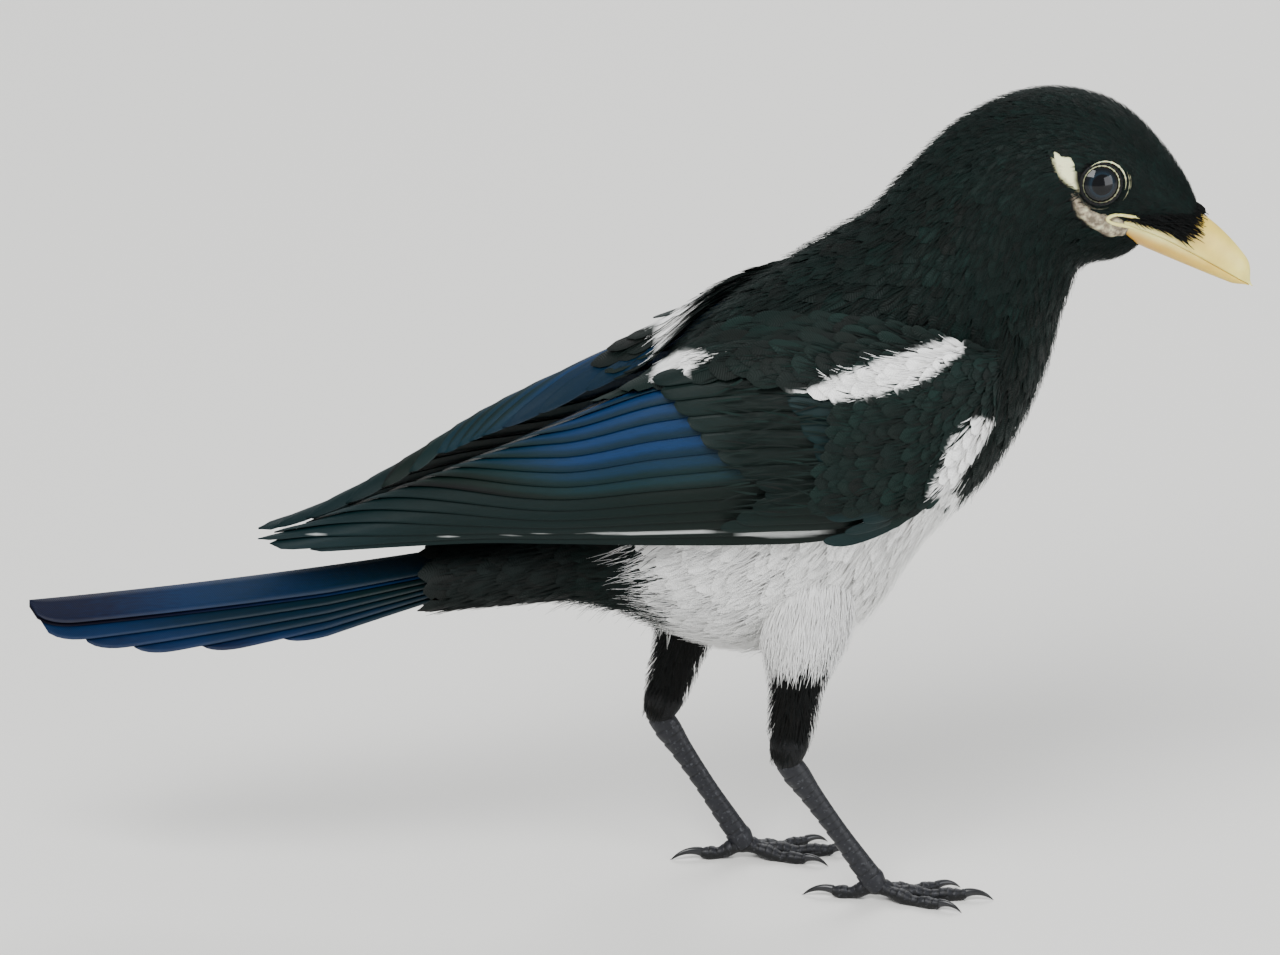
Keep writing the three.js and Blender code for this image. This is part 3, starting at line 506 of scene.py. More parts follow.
class LimbForm:
    """A limb: u is the share along it, v the turn from its front, towards the bird's left."""

    lie = 1.0

    def __init__(self, start: Array, end: Array, limb: Limb, left: float = 0.0) -> None:
        """Sets the limb's axes.

        Args:
            start: the upper joint.
            end: the lower joint.
            limb: the sizes along it.
            left: the left edge of its part of the body's unwrap, for one that is part of it.
        """
        self.start = np.asarray(start, float)
        self.line = np.asarray(end, float) - self.start
        self.length = float(np.linalg.norm(self.line))
        self.line = self.line / self.length
        sideways = np.array([0.0, 1.0, 0.0])
        self.sideways = unit(sideways - self.line * self.line[1])
        self.fore = unit(np.cross(self.sideways, self.line))
        self.limb = limb
        self.left = left

    def reach(self, u: Array) -> tuple[Array, Array]:
        """Reach fore and aft, and sideways, at a share along the limb."""
        t = place_of(self.limb.along, np.clip(u, 0, 1))
        return curve(self.limb.fore, t), curve(self.limb.side, t)

    def point(self, u: Array, v: Array, height: Array) -> Array:
        """Places at (u, v), raised by a height in millimetres.

        Args:
            u: first coordinates.
            v: second coordinates.
            height: heights over the form, in millimetres.

        Returns:
            The places, on a last axis of three.
        """
        fore, side = self.reach(u)
        points = self.start + self.line * (np.asarray(u) * self.length)[..., None]
        points = points + self.fore * (np.cos(v) * (fore + height))[..., None]
        return points + self.sideways * (np.sin(v) * (side + height))[..., None]

    def rounded(self, points: Array, u: Array, share: Array) -> Array:
        """Draws rings in towards the limb's axis, fully where the share is 1, as a round end."""
        centre = self.start + self.line * (u * self.length)[..., None]
        return centre + (points - centre) * np.sqrt(1 - share ** 2)[..., None]

    def bake(self, u: Array, v: Array) -> Array:
        """This limb's part of the unwrap."""
        return np.stack([self.left + SIDE_COLUMN * turn_share(v), 0.48 - 0.18 * np.asarray(u)], -1)


def leg_point(side: Side, joint: tuple[float, float, float]) -> Array:
    """A leg joint's place on its own side of the bird."""
    return np.array([joint[0], side.value * joint[1], joint[2]], float)


def shin_form(side: Side) -> LimbForm:
    """The feathered shin's form."""
    leg = LEGS[side]
    return LimbForm(leg_point(side, leg.top), leg_point(side, leg.ankle), SHIN, side.column)


@dataclass(frozen=True)
class TailSizes:
    """The tail: the line of its upper face, and feather pairs from the middle pair outwards."""

    root_x: float = -28
    tip_x: float = -153
    root_z: float = 92
    root_slope: float = 0.18
    tip_slope: float = 0.098
    shorter: tuple[float, ...] = (0, 3, 13, 25, 42, 62)
    width: tuple[float, ...] = (16, 15.5, 15, 14, 13, 12)
    fan_degrees: float = 1.7
    roof_root: float = 0.2
    roof_tip: float = 0.5
    roof_from: float = 0.4
    step: float = 0.92
    spread: float = 0.3

    def top(self, x: Array) -> Array:
        """Height of the upper face on the middle line.

        Args:
            x: places along X.

        Returns:
            The height, in millimetres.
        """
        length = self.root_x - self.tip_x
        t = (self.root_x - x) / length
        bend = 0.5 * (self.root_slope - self.tip_slope)
        return self.root_z - length * (self.root_slope * t - bend * t * t)

    def drop(self, x: Array, y: Array) -> Array:
        """How far the roofed tail falls away at y from its middle line."""
        t = (self.root_x - x) / (self.root_x - self.tip_x)
        slope = self.roof_root + (self.roof_tip - self.roof_root) * np.clip(t / self.roof_from, 0, 1)
        return slope * np.abs(y)


TAIL = TailSizes()
# Plumage round the tail's root: x, middle's height, reach up, down and sideways
TAIL_SLEEVE = np.array([
    (-12, 87.4, 8.6, 9.6, 9.5),
    (-28, 84.6, 8.8, 8.2, 10.9),
    (-42, 82.2, 7.8, 6.6, 12.6),
    (-56, 79.4, 8.3, 5, 14),
])


class SleeveForm:
    """Plumage round the tail's root: u is the place along X, v the turn from the upper middle line."""

    lie = -1.0

    def point(self, u: Array, v: Array, height: Array) -> Array:
        """Places at (u, v), raised by a height in millimetres.

        Args:
            u: first coordinates.
            v: second coordinates.
            height: heights over the form, in millimetres.

        Returns:
            The places, on a last axis of three.
        """
        t = place_of(TAIL_SLEEVE[:, 0], u)
        z, up, down, side = np.moveaxis(curve(TAIL_SLEEVE[:, 1:], t), -1, 0)
        reach = np.where(np.cos(v) > 0, up, down) + height
        return np.stack([u + 0 * v, np.sin(v) * (side + height), z + np.cos(v) * reach], -1)

    def bake(self, u: Array, v: Array) -> Array:
        """The sleeve's part of the unwrap."""
        share = (np.asarray(u) - TAIL_SLEEVE[-1, 0]) / (TAIL_SLEEVE[0, 0] - TAIL_SLEEVE[-1, 0])
        return np.stack([RIGHT_AT + SIDE_COLUMN * turn_share(v), MARGIN + 0.24 * share], -1)


# Bill stations: x, z, rise, depth over and under the line between the mandibles, half width
BILL = np.array([
    (115.5, 179.4, -14, 4.5, 4.5, 12.6),
    (121.7, 177.6, -20, 6, 6.3, 12.3),
    (129.3, 173.3, -28, 8, 6.1, 8.8),
    (136.3, 168.6, -31, 8.4, 4.9, 5.8),
    (142.5, 164.5, -33, 7.1, 3.7, 4.3),
    (148.2, 160.6, -38, 4.7, 2.4, 2.8),
    (151.9, 157.6, -46, 2.2, 1.1, 1.4),
])
BILL_GAP = 0.12
LOWER_REACH = 0.97
LOWER_WIDTH = 0.94
RIDGE_PINCH = 0.16
# The bill draws in to its point from this share of its length, by this much
POINT_FROM = 0.8
POINT_DRAW = 0.86


def bill_point(u: Array, turn: Array, upper: bool, out: Array = 0.0) -> Array:
    """Places on a mandible's surface.

    Args:
        u: share along the bill from the gape to the tip.
        turn: from one cutting edge over the ridge to the other, 0 to half a circle.
        upper: whether it is the upper mandible.
        out: millimetres outside the surface.

    Returns:
        The places, on a last axis of three.
    """
    u, turn = np.broadcast_arrays(np.asarray(u, float), np.asarray(turn, float))
    x, z, rise, over, under, wide = np.moveaxis(curve(BILL, u * (len(BILL) - 1)), -1, 0)
    rise = np.radians(rise)
    point = 1 - POINT_DRAW * smooth(POINT_FROM, 1.0, u) ** 1.4
    depth = (over if upper else under) * point + out
    wide = wide * point
    height = BILL_GAP + np.sin(turn) * np.maximum(depth - BILL_GAP, 0.1)
    bulge = 1 - RIDGE_PINCH * np.sin(turn) ** 2 if upper else LOWER_WIDTH
    sign = 1 if upper else -1
    return np.stack([
        x - np.sin(rise) * height * sign,
        np.cos(turn) * (wide + out) * bulge,
        z + np.cos(rise) * height * sign,
    ], -1)


@dataclass(frozen=True)
class EyeSizes:
    """Where the eye sits and how large its parts are."""

    along: float = 9.83
    turn_degrees: float = 78
    radius: float = 7
    opening: float = 4.4
    proud: float = -0.2
    pupil: float = 2.6


EYE = EyeSizes()


def eye_axes(side: Side, body: BodyForm) -> tuple[Array, Array, Array, Array]:
    """The eye's middle and its axes.

    Args:
        side: which eye.
        body: the form of the head.

    Returns:
        The middle of the opening, then directions out of the head, forward and up on its surface.
    """
    turn = side.value * math.radians(EYE.turn_degrees)
    d = 0.03

    def at(s: float, w: float) -> Array:
        """A point of the head's surface."""
        return body.point(np.array(s), np.array(w), np.array(0.0))

    along = unit(at(EYE.along + d, turn) - at(EYE.along - d, turn))
    across = unit(at(EYE.along, turn + d) - at(EYE.along, turn - d))
    outward = unit(np.cross(along, across))
    if outward[1] * side.value < 0:
        outward = -outward
    up = unit(np.cross(outward, along) * side.value * -1)
    if up[2] < 0:
        up = -up
    forward = unit(np.cross(up, outward))
    if forward[0] < 0:
        forward = -forward
    return at(EYE.along, turn) + outward * EYE.proud, outward, forward, up


# Markings


# Bare skin behind and under the eye, as outlines in the head's side view (x, z)
EYE_PATCH = [(101.5, 199.2), (104, 197.6), (106.6, 197.2), (107.4, 195.2), (107.3, 191.6),
             (108.2, 188.7), (106.4, 189.7), (103.3, 192.8), (101.9, 196.4)]
# White of the wings, as outlines of x and of height less a share of the reach from the middle
SCAPULAR_BAND = [(79.5, 144.6), (70.5, 141.6), (61, 138.2), (53.5, 135.7), (45.5, 131.8), (36, 128),
                 (36, 126.8), (45.5, 126.8), (53.5, 127.9), (61, 129.5), (70.5, 133.2), (79.5, 140)]
SCAPULAR_TIP = [(2.5, 133), (4, 137), (10, 140.5), (15.5, 140), (13, 136), (8, 132.5)]
BEND_TUFT = [(83.7, 123), (77.5, 119), (75, 112), (71, 102), (88, 102), (88, 121)]
BAND_SLOPE = 0.364
CHEEK_STRIPE = [(106.2, 188.4), (108, 182.2), (112, 177.8), (115.9, 174.6), (119.4, 174.4),
                (121.4, 176.8), (118, 181), (113.2, 182.4), (109.4, 185.2)]
GAPE_LOOP = [(125.2, 178.8), (121, 180.6), (117.4, 181.5), (115.5, 180.6), (116.8, 179.2),
             (120, 177.9), (124, 176.1)]


def bare_share(points: Array, soft: float = 0.5) -> Array:
    """How bare of feathers the head is at places on it, 0 to 1.

    Args:
        points: places, on the last axis.
        soft: how wide the border is to either side, in millimetres.

    Returns:
        Shares, 1 where bare.
    """
    patch = inside_outline(points[..., 0], points[..., 2], EYE_PATCH)
    stripe = inside_outline(points[..., 0], points[..., 2], CHEEK_STRIPE)
    side = smooth(6, 9, np.abs(points[..., 1]))
    return smooth(-soft, soft, np.maximum(patch, stripe)) * side


def belly_white(points: Array) -> Array:
    """The share of white in the body's plumage: flanks and belly between bib and vent.

    Args:
        points: places, on the last axis.

    Returns:
        Shares, 1 where white.
    """
    x, z = points[..., 0], points[..., 2]
    behind = 1 - smooth(81.5, 84.5, x - 0.1 * (z - 105))
    ahead = smooth(-3.5, 3.5, x - 8.5 + 0.36 * (z - 90))
    roof = np.interp(x, (-5, 20, 60, 79, 86), (101, 112, 120, 134, 131))
    return behind * ahead * (1 - smooth(-1.5, 1.5, z - roof))


# Meshes


@dataclass
class Shape:
    """Faces and vertices, and what the vertices carry."""

    points: Array
    corners: Array
    counts: Array
    fields: dict[str, Array] = field(default_factory=dict)
    maps: dict[str, Array] = field(default_factory=dict)
    soft: Array | None = None

    def triangles(self) -> int:
        """How many triangles the faces make."""
        return int((self.counts - 2).sum())


def joined(shapes: list[Shape]) -> Shape:
    """Puts shapes that carry the same things into one.

    Args:
        shapes: the shapes.

    Returns:
        One shape.
    """
    starts = np.cumsum([0] + [len(s.points) for s in shapes[:-1]])
    soft = [s.soft if s.soft is not None else np.zeros((len(s.points), 3)) for s in shapes]
    return Shape(
        np.concatenate([s.points for s in shapes]),
        np.concatenate([s.corners + start for s, start in zip(shapes, starts)]),
        np.concatenate([s.counts for s in shapes]),
        {k: np.concatenate([s.fields[k] for s in shapes]) for k in shapes[0].fields},
        {k: np.concatenate([s.maps[k] for s in shapes]) for k in shapes[0].maps},
        np.concatenate(soft),
    )


def ringed(points: Array, fields: dict[str, Array], maps: dict[str, Array],
           soft: Array | None = None) -> Shape:
    """Closes stacks of rings into tubes with flat ends, all facing out.

    Args:
        points: places, of shape (tubes, rows, points of a ring, 3).
        fields: one number for each point, of the first three axes' shape.
        maps: two numbers for each point.
        soft: directions that the shading leans to, longer where it leans more, up to 1.

    Returns:
        The tubes as one shape.
    """
    n, rows, columns, _ = points.shape
    base = (np.arange(n) * rows * columns)[:, None, None]
    r = (np.arange(rows - 1) * columns)[None, :, None]
    c = np.arange(columns)[None, None, :]
    a = base + r + c
    b = base + r + (c + 1) % columns
    quads = np.stack([a, b, b + columns, a + columns], -1).reshape(-1, 4)
    first = base[:, 0] + np.arange(columns)[None, ::-1]
    last = (base[:, 0] + (rows - 1) * columns + np.arange(columns)[None])
    flat = points.reshape(-1, 3)
    p = flat[quads] - flat.mean(0)
    volume = np.einsum("ij,ij->", p[:, 0], np.cross(p[:, 1], p[:, 2]))
    volume += np.einsum("ij,ij->", p[:, 0], np.cross(p[:, 2], p[:, 3]))
    if volume < 0:
        quads, first, last = quads[:, ::-1], first[:, ::-1], last[:, ::-1]
    corners = np.concatenate([quads.ravel(), first.ravel(), last.ravel()])
    counts = np.concatenate([np.full(len(quads), 4), np.full(2 * n, columns)])
    return Shape(
        flat,
        corners,
        counts,
        {k: np.broadcast_to(v, (n, rows, columns)).ravel() for k, v in fields.items()},
        {k: np.broadcast_to(v, (n, rows, columns, 2)).reshape(-1, 2) for k, v in maps.items()},
        None if soft is None else soft.reshape(-1, 3),
    )


def around(count: int) -> Array:
    """Turns spread evenly round a ring, the last short of the first."""
    return np.linspace(0, TAU, count, endpoint=False)


def tube(points: Array, ring_share: Array, length_share: Array, **fields: Array) -> Shape:
    """One closed tube with an unwrap of its own.

    Args:
        points: places, of shape (rows, points of a ring, 3).
        ring_share: shares round each ring, for the unwrap.
        length_share: shares along the tube, for the unwrap.
        **fields: one number for each point.

    Returns:
        The tube.
    """
    bake = np.stack(np.broadcast_arrays(0.05 + 0.9 * ring_share, 0.05 + 0.9 * length_share), -1)
    return ringed(points[None], {k: np.asarray(v)[None] for k, v in fields.items()}, {BAKE_MAP: bake[None]})


def mesh_of(name: str, shape: Shape) -> bpy.types.Mesh:
    """Makes a smooth-shaded mesh of a shape, in metres, with its fields and maps.

    Args:
        name: the mesh's name.
        shape: its faces, and what its points carry.

    Returns:
        The mesh.
    """
    mesh = bpy.data.meshes.new(name)
    mesh.vertices.add(len(shape.points))
    mesh.vertices.foreach_set("co", (shape.points * METRES).astype(np.float32).ravel())
    mesh.loops.add(len(shape.corners))
    mesh.loops.foreach_set("vertex_index", shape.corners.astype(np.int32))
    mesh.polygons.add(len(shape.counts))
    starts = np.concatenate([[0], np.cumsum(shape.counts)[:-1]])
    mesh.polygons.foreach_set("loop_start", starts.astype(np.int32))
    mesh.update(calc_edges=True)
    mesh.validate()
    for key, values in shape.fields.items():
        attribute = mesh.attributes.new(key, "FLOAT", "POINT")
        attribute.data.foreach_set("value", values.astype(np.float32))
    for key, values in shape.maps.items():
        layer = mesh.uv_layers.new(name=key)
        layer.data.foreach_set("uv", values[shape.corners].astype(np.float32).ravel())
    if shape.soft is not None and shape.soft.any():
        own = np.zeros(len(shape.points) * 3, np.float32)
        mesh.vertex_normals.foreach_get("vector", own)
        lean = np.linalg.norm(shape.soft, axis=-1, keepdims=True)
        blend = unit(own.reshape(-1, 3) * (1 - lean) + shape.soft)
        mesh.normals_split_custom_set_from_vertices(blend.tolist())
    return mesh


def piece(name: str, shape: Shape, material: bpy.types.Material,
          nodes: tuple[str, ...] = ()) -> bpy.types.Object:
    """Adds a piece of the bird to the scene.

    Args:
        name: the piece's name.
        shape: its faces.
        material: its finish.
        nodes: the solids that it stands for.

    Returns:
        The new object.
    """
    made = bpy.data.objects.new(name, mesh_of(name, shape))
    bpy.context.scene.collection.objects.link(made)
    made.data.materials.append(material)
    declare(made, nodes)
    LOG.info("%s: %d triangles", name, shape.triangles())
    return made


def declare(made: bpy.types.Object, nodes: tuple[str, ...]) -> None:
    """Says which body a piece rides on and what it replaces.

    Args:
        made: the piece.
        nodes: the solids that it stands for.
    """
    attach(made, "root")
    if nodes:
        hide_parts(*nodes)


# Feathers


@dataclass
class Growth:
    """Feathers of one kind, each field an array with a value for each feather, or one value for all.

    They grow at (u, v) on a form, swung by a turn from its lie. The heights of root and tip, and the
    flare that lifts the tip further, are in millimetres over the form.
    """

    u: Array
    v: Array
    length: Array
    width: Array
    turn: Array
    root: Array
    tip: Array
    flare: Array
    tone: Array
    white: Array = 0.0
    hue: Array = 0.0

    def __len__(self) -> int:
        """How many feathers there are."""
        return len(self.u)


def round_trip(columns: int) -> tuple[Array, Array]:
    """Places across a feather, -1 to 1 over it and back under it, and 1 for those underneath.

    Locks of three points have no underside of their own, since they are too narrow to need one.

    Args:
        columns: points across the upper face.

    Returns:
        The places, and which of them lie underneath.
    """
    over = np.linspace(-1, 1, columns)
    under = over[-2:0:-1] if columns > 3 else over[:0]
    return np.concatenate([over, under]), np.concatenate([0 * over, 0 * under + 1])


def feathers(surface: Surface, growth: Growth, rows: int, columns: int, thick: float,
             outline: Callable[[Array], Array], bend: Array | float = 0.0, lean: float = 0.8) -> Shape:
    """Makes thin closed feathers that lie along a surface.

    Args:
        surface: the form that they grow on.
        growth: where and how they grow.
        rows: rings along each feather.
        columns: points across its upper face.
        thick: height of the shaft's ridge over the feather's edges, in millimetres.
        outline: share of the full half width at shares along the feather.
        bend: sideways swing of the tip, as a share of the length.
        lean: how far its shading follows the form under it, 0 to 1.

    Returns:
        All feathers as one shape.
    """
    t = np.linspace(0, 1, rows)[None, :, None]
    c, below = (part[None, None, :] for part in round_trip(columns))

    def each(value: Array) -> Array:
        """A value for each feather, ready to meet rows and columns."""
        return np.broadcast_to(np.asarray(value, float), (len(growth),))[:, None, None]

    length = each(growth.length)
    half = 0.5 * each(growth.width) * outline(t)
    along = length * t
    across = half * c + each(bend) * length * t * t
    turn = each(growth.turn)
    forward = along * np.cos(turn) - across * np.sin(turn)
    sideways = along * np.sin(turn) + across * np.cos(turn)
    rate_u, rate_v = speeds(surface, growth.u, growth.v)
    u = each(growth.u) + surface.lie * forward / each(np.maximum(rate_u, SLOWEST * np.median(rate_u)))
    v = each(growth.v) + sideways / each(np.maximum(rate_v, SLOWEST * np.median(rate_v)))
    rise = each(growth.root) + (each(growth.tip) - each(growth.root)) * t ** RISING
    ridge = thick * (1 - c * c) * (1 - 0.7 * t) * (1 - below)
    height = rise + each(growth.flare) * t ** 3 + ridge - SHEET_THICK * below
    points = surface.point(u, v, height)
    soft = unit(surface.point(u, v, height + 1) - points) * lean * (1 - 2 * below[..., None])
    ones = np.ones_like(u)
    root = surface.bake(growth.u, growth.v)[:, None, None, :]
    patch = np.stack(np.broadcast_arrays(c * 0.5 * PATCH, (t - 0.5) * PATCH), -1)
    vane = np.stack([ones * (0.5 + 0.5 * c), along * 0.1 + 0 * ones], -1)
    fields = {
        "white": each(growth.white) * ones,
        "tone": each(growth.tone) * ones,
        "hue": each(growth.hue) * ones,
        "along": t * ones,
    }
    return ringed(points, fields, {BAKE_MAP: root + patch, VANE_MAP: vane}, soft=soft)


def blade_outline(t: Array, near: Array, root: float, full_at: float) -> Array:
    """A large feather: widening from its root, even along it, with a blunt round tip.

    Args:
        t: shares along it.
        near: how far places lie from its tip, 0 at the tip to 1 where it is full.
        root: the root's share of the full width.
        full_at: the share along it where it is first full.

    Returns:
        Shares of its full width.
    """
    return (root + (1 - root) * smooth(0, full_at, t)) * np.sqrt(np.maximum(1 - (1 - near) ** 2.4, 0.004))


def vane_outline(t: Array) -> Array:
    """A small body feather: narrow at its root, widest past the middle, with a rounded tip."""
    return (0.45 + 0.55 * smooth(0, 0.45, t)) * np.sqrt(np.maximum(1 - smooth(0.62, 1.02, t) ** 1.6, 0.02))


def lock_outline(t: Array) -> Array:
    """A lock of barbs: a long taper to a fine point."""
    return (0.6 + 0.4 * smooth(0, 0.2, t)) * (1 - 0.93 * smooth(0.15, 1.0, t))


def scatter(surface: Surface, low: tuple[float, float], high: tuple[float, float],
            spacing: Callable[[Array, Array, Array], Array],
            rng: np.random.Generator) -> tuple[Array, Array, Array]:
    """Spreads roots evenly over a surface, closer together where the spacing is small.

    Args:
        surface: the form to cover.
        low: lowest coordinates.
        high: highest coordinates.
        spacing: the distance wanted between roots at (u, v, place), or 0 where there are none.
        rng: the source of chance.

    Returns:
        Coordinates u and v of the roots, and their places.
    """
    tries = 4000
    u = rng.uniform(low[0], high[0], tries)
    v = rng.uniform(low[1], high[1], tries)
    need, _ = demand(surface, u, v, spacing)
    peak = need.max() * 1.1
    area = (high[0] - low[0]) * (high[1] - low[1])
    count = int(CROWD * peak * area)
    u = rng.uniform(low[0], high[0], count)
    v = rng.uniform(low[1], high[1], count)
    need, gaps = demand(surface, u, v, spacing)
    keep = rng.uniform(0, peak, count) < need
    u, v, gaps = u[keep], v[keep], gaps[keep]
    places = surface.point(u, v, np.zeros(len(u)))
    tree = KDTree(len(u))
    for i, place in enumerate(places.tolist()):
        tree.insert(place, i)
    tree.balance()
    alive = np.ones(len(u), bool)
    for i, (place, gap) in enumerate(zip(places.tolist(), gaps.tolist())):
        if alive[i]:
            for _, j, _ in tree.find_range(place, gap):
                alive[j] = False
            alive[i] = True
    return u[alive], v[alive], places[alive]


def demand(surface: Surface, u: Array, v: Array,
           spacing: Callable[[Array, Array, Array], Array]) -> tuple[Array, Array]:
    """Roots wanted per unit of the coordinates, and the spacing, at places on a surface.

    Args:
        surface: the form.
        u: first coordinates.
        v: second coordinates.
        spacing: the distance wanted between roots at (u, v, place).

    Returns:
        The roots wanted, and the spacing.
    """
    gap = spacing(u, v, surface.point(u, v, np.zeros(len(u))))
    rate_u, rate_v = speeds(surface, u, v)
    need = np.where(gap > 0, rate_u * rate_v / np.maximum(gap, 0.1) ** 2, 0)
    return need, gap


# Finishes


RAMP = "ShaderNodeValToRGB"
MATH = "ShaderNodeMath"
NOISE = "ShaderNodeTexNoise"
BUMP = "ShaderNodeBump"
MIX = "ShaderNodeMix"
COLOURS = {"data_type": "RGBA"}
TIMES = {"data_type": "RGBA", "blend_type": "MULTIPLY", 0: 1.0}

Source = bpy.types.Node | bpy.types.NodeSocket


def linear(code: str) -> tuple[float, float, float, float]:
    """Turns an sRGB hex colour to linear light."""
    parts = [int(code[k:k + 2], 16) / 255 for k in (1, 3, 5)]
    return tuple(p / 12.92 if p <= 0.04045 else ((p + 0.055) / 1.055) ** 2.4 for p in parts) + (1.0,)


def join(tree: bpy.types.NodeTree, source: Source, socket: bpy.types.NodeSocket) -> None:
    """Links a socket to an output, or to a node's first output in use."""
    if isinstance(source, bpy.types.Node):
        source = next(output for output in source.outputs if output.enabled)
    tree.links.new(source, socket)


def node(tree: bpy.types.NodeTree, kind: str, settings: dict | None = None,
         links: dict[str | int, Source] | None = None) -> bpy.types.Node:
    """Adds a node to a material.

    Args:
        tree: the material's nodes.
        kind: the node's type.
        settings: its options, the values of its sockets by name or number, and a ramp's stops, each
            a place and a hex colour.
        links: what to join to its sockets, by name or number.

    Returns:
        The new node.
    """
    made = tree.nodes.new(kind)
    for key, value in (settings or {}).items():
        if key == "stops":
            elements = made.color_ramp.elements
            while len(elements) < len(value):
                elements.new(0.5)
            for element, (place, code) in zip(elements, value):
                element.position = place
                element.color = linear(code)
        elif isinstance(key, int) or key in made.inputs:
            made.inputs[key].default_value = value
        else:
            setattr(made, key, value)
    for key, source in (links or {}).items():
        join(tree, source, made.inputs[key])
    return made


def carried(tree: bpy.types.NodeTree, *names: str) -> list[bpy.types.NodeSocket]:
    """The values that a mesh carries under these names."""
    return [node(tree, "ShaderNodeAttribute", {"attribute_name": name}).outputs["Fac"] for name in names]


def grown(tree: bpy.types.NodeTree, size_mm: float, kind: str = NOISE,
          **settings: float | str) -> bpy.types.Node:
    """A pattern laid through the whole piece, with cells of a real size.

    Args:
        tree: the material's nodes.
        size_mm: the cells' size.
        kind: the texture.
        **settings: its other options.

    Returns:
        The texture's node.
    """
    place = node(tree, "ShaderNodeTexCoord").outputs["Object"]
    return node(tree, kind, {"Scale": 1 / (size_mm * METRES)} | settings, {"Vector": place})


def barb_wave(tree: bpy.types.NodeTree, spacing_mm: float, slant: float) -> bpy.types.Node:
    """Lines of barbs that leave the shaft at a slant.

    Args:
        tree: the material's nodes.
        spacing_mm: distance between the lines along the shaft.
        slant: how far a line runs on along the shaft by the feather's edge, in centimetres.

    Returns:
        A value from 0 to 1 over the feather.
    """
    place = node(tree, "ShaderNodeUVMap", {"uv_map": VANE_MAP})
    split = node(tree, "ShaderNodeSeparateXYZ", links={0: place})
    off = node(tree, MATH, {"operation": "SUBTRACT", 1: 0.5}, {0: split.outputs["X"]})
    far = node(tree, MATH, {"operation": "ABSOLUTE"}, {0: off})
    lean = node(tree, MATH, {"operation": "MULTIPLY_ADD", 1: -2 * slant}, {0: far, 2: split.outputs["Y"]})
    fast = node(tree, MATH, {"operation": "MULTIPLY", 1: TAU * 10 / spacing_mm}, {0: lean})
    wave = node(tree, MATH, {"operation": "SINE"}, {0: fast})
    return node(tree, MATH, {"operation": "MULTIPLY_ADD", 1: 0.5, 2: 0.5}, {0: wave})


class Finish:
    """A surface's finish: each kind paints its own colour and relief, and all are built alike."""

    surface: ClassVar[str]
    even: ClassVar[dict[str, float]]

    def paint(self, tree: bpy.types.NodeTree) -> dict[str, Source]:
        """What goes to the shader's sockets, by their names."""
        raise NotImplementedError

    def build(self) -> bpy.types.Material:
        """Makes the material from its paint and from the values that are even all over.

        Returns:
            The material.
        """
        material = bpy.data.materials.new(self.surface)
        material.use_nodes = True
        tree = material.node_tree
        shader = tree.nodes["Principled BSDF"]
        for key, source in self.paint(tree).items():
            join(tree, source, shader.inputs[key])
        for key, value in self.even.items():
            shader.inputs[key].default_value = value
        return material


@dataclass(frozen=True)
class ContourPlumage(Finish):
    """Small body feathers: loose keratin barbs, matt, black or white.

    Loose barbs scatter light, so the black stays soft and dull, with a faint green and brown cast, and
    the white is clean. Both black and white darken towards each feather's root, which is painted shade.
    The barbs are drawn coarser than life, since real ones are too fine for the picture.
    """

    surface: ClassVar[str] = "plumage_loose_barbs"
    even: ClassVar[dict[str, float]] = {"Roughness": 0.6, "Specular IOR Level": 0.14}
    # Painted shade: the root colours darken black and white feathers towards their roots, where shade falls
    # between them
    black_root_painted_shade: str = "#030505"
    black_tip: str = "#080D0D"
    green: str = "#0C2420"
    brown: str = "#120F0D"
    white_root_painted_shade: str = "#DEDDD9"
    white_tip: str = "#FAFAF8"
    barb_spacing_mm: float = 0.6
    barb_slant: float = 0.12
    patch_mm: float = 9.0

    def paint(self, tree: bpy.types.NodeTree) -> dict[str, Source]:
        """Black with green and worn brown in it, or white, in lines of barbs, both with painted shade at
        the root.

        Args:
            tree: the material's nodes.

        Returns:
            What each of the shader's sockets takes.
        """
        along, white, tone, hue = carried(tree, "along", "white", "tone", "hue")
        # The ramps along each feather paint shade at its root, for the black here and for the white below
        black = node(tree, RAMP, {"stops": ((0.1, self.black_root_painted_shade), (0.8, self.black_tip))}, {"Fac": along})
        green = node(tree, MIX, COLOURS | {7: linear(self.green)}, {0: hue, 6: black})
        cloud = grown(tree, self.patch_mm, Detail=3.0)
        worn = node(tree, MATH, {"operation": "MULTIPLY"}, {0: cloud, 1: tone})
        dark = node(tree, MIX, COLOURS | {7: linear(self.brown)}, {0: worn, 6: green})
        pale = node(tree, RAMP, {"stops": ((0.0, self.white_root_painted_shade), (0.6, self.white_tip))}, {"Fac": along})
        colour = node(tree, MIX, COLOURS, {0: white, 6: dark, 7: pale})
        barbs = barb_wave(tree, self.barb_spacing_mm, self.barb_slant)
        lined = node(tree, MATH, {"operation": "MULTIPLY_ADD", 1: 0.16, 2: 0.86}, {0: barbs})
        return {
            "Base Color": node(tree, MIX, TIMES, {6: colour, 7: lined}),
            "Normal": node(tree, BUMP, {"Strength": 0.35, "Distance": 0.0002}, {"Height": barbs}),
        }


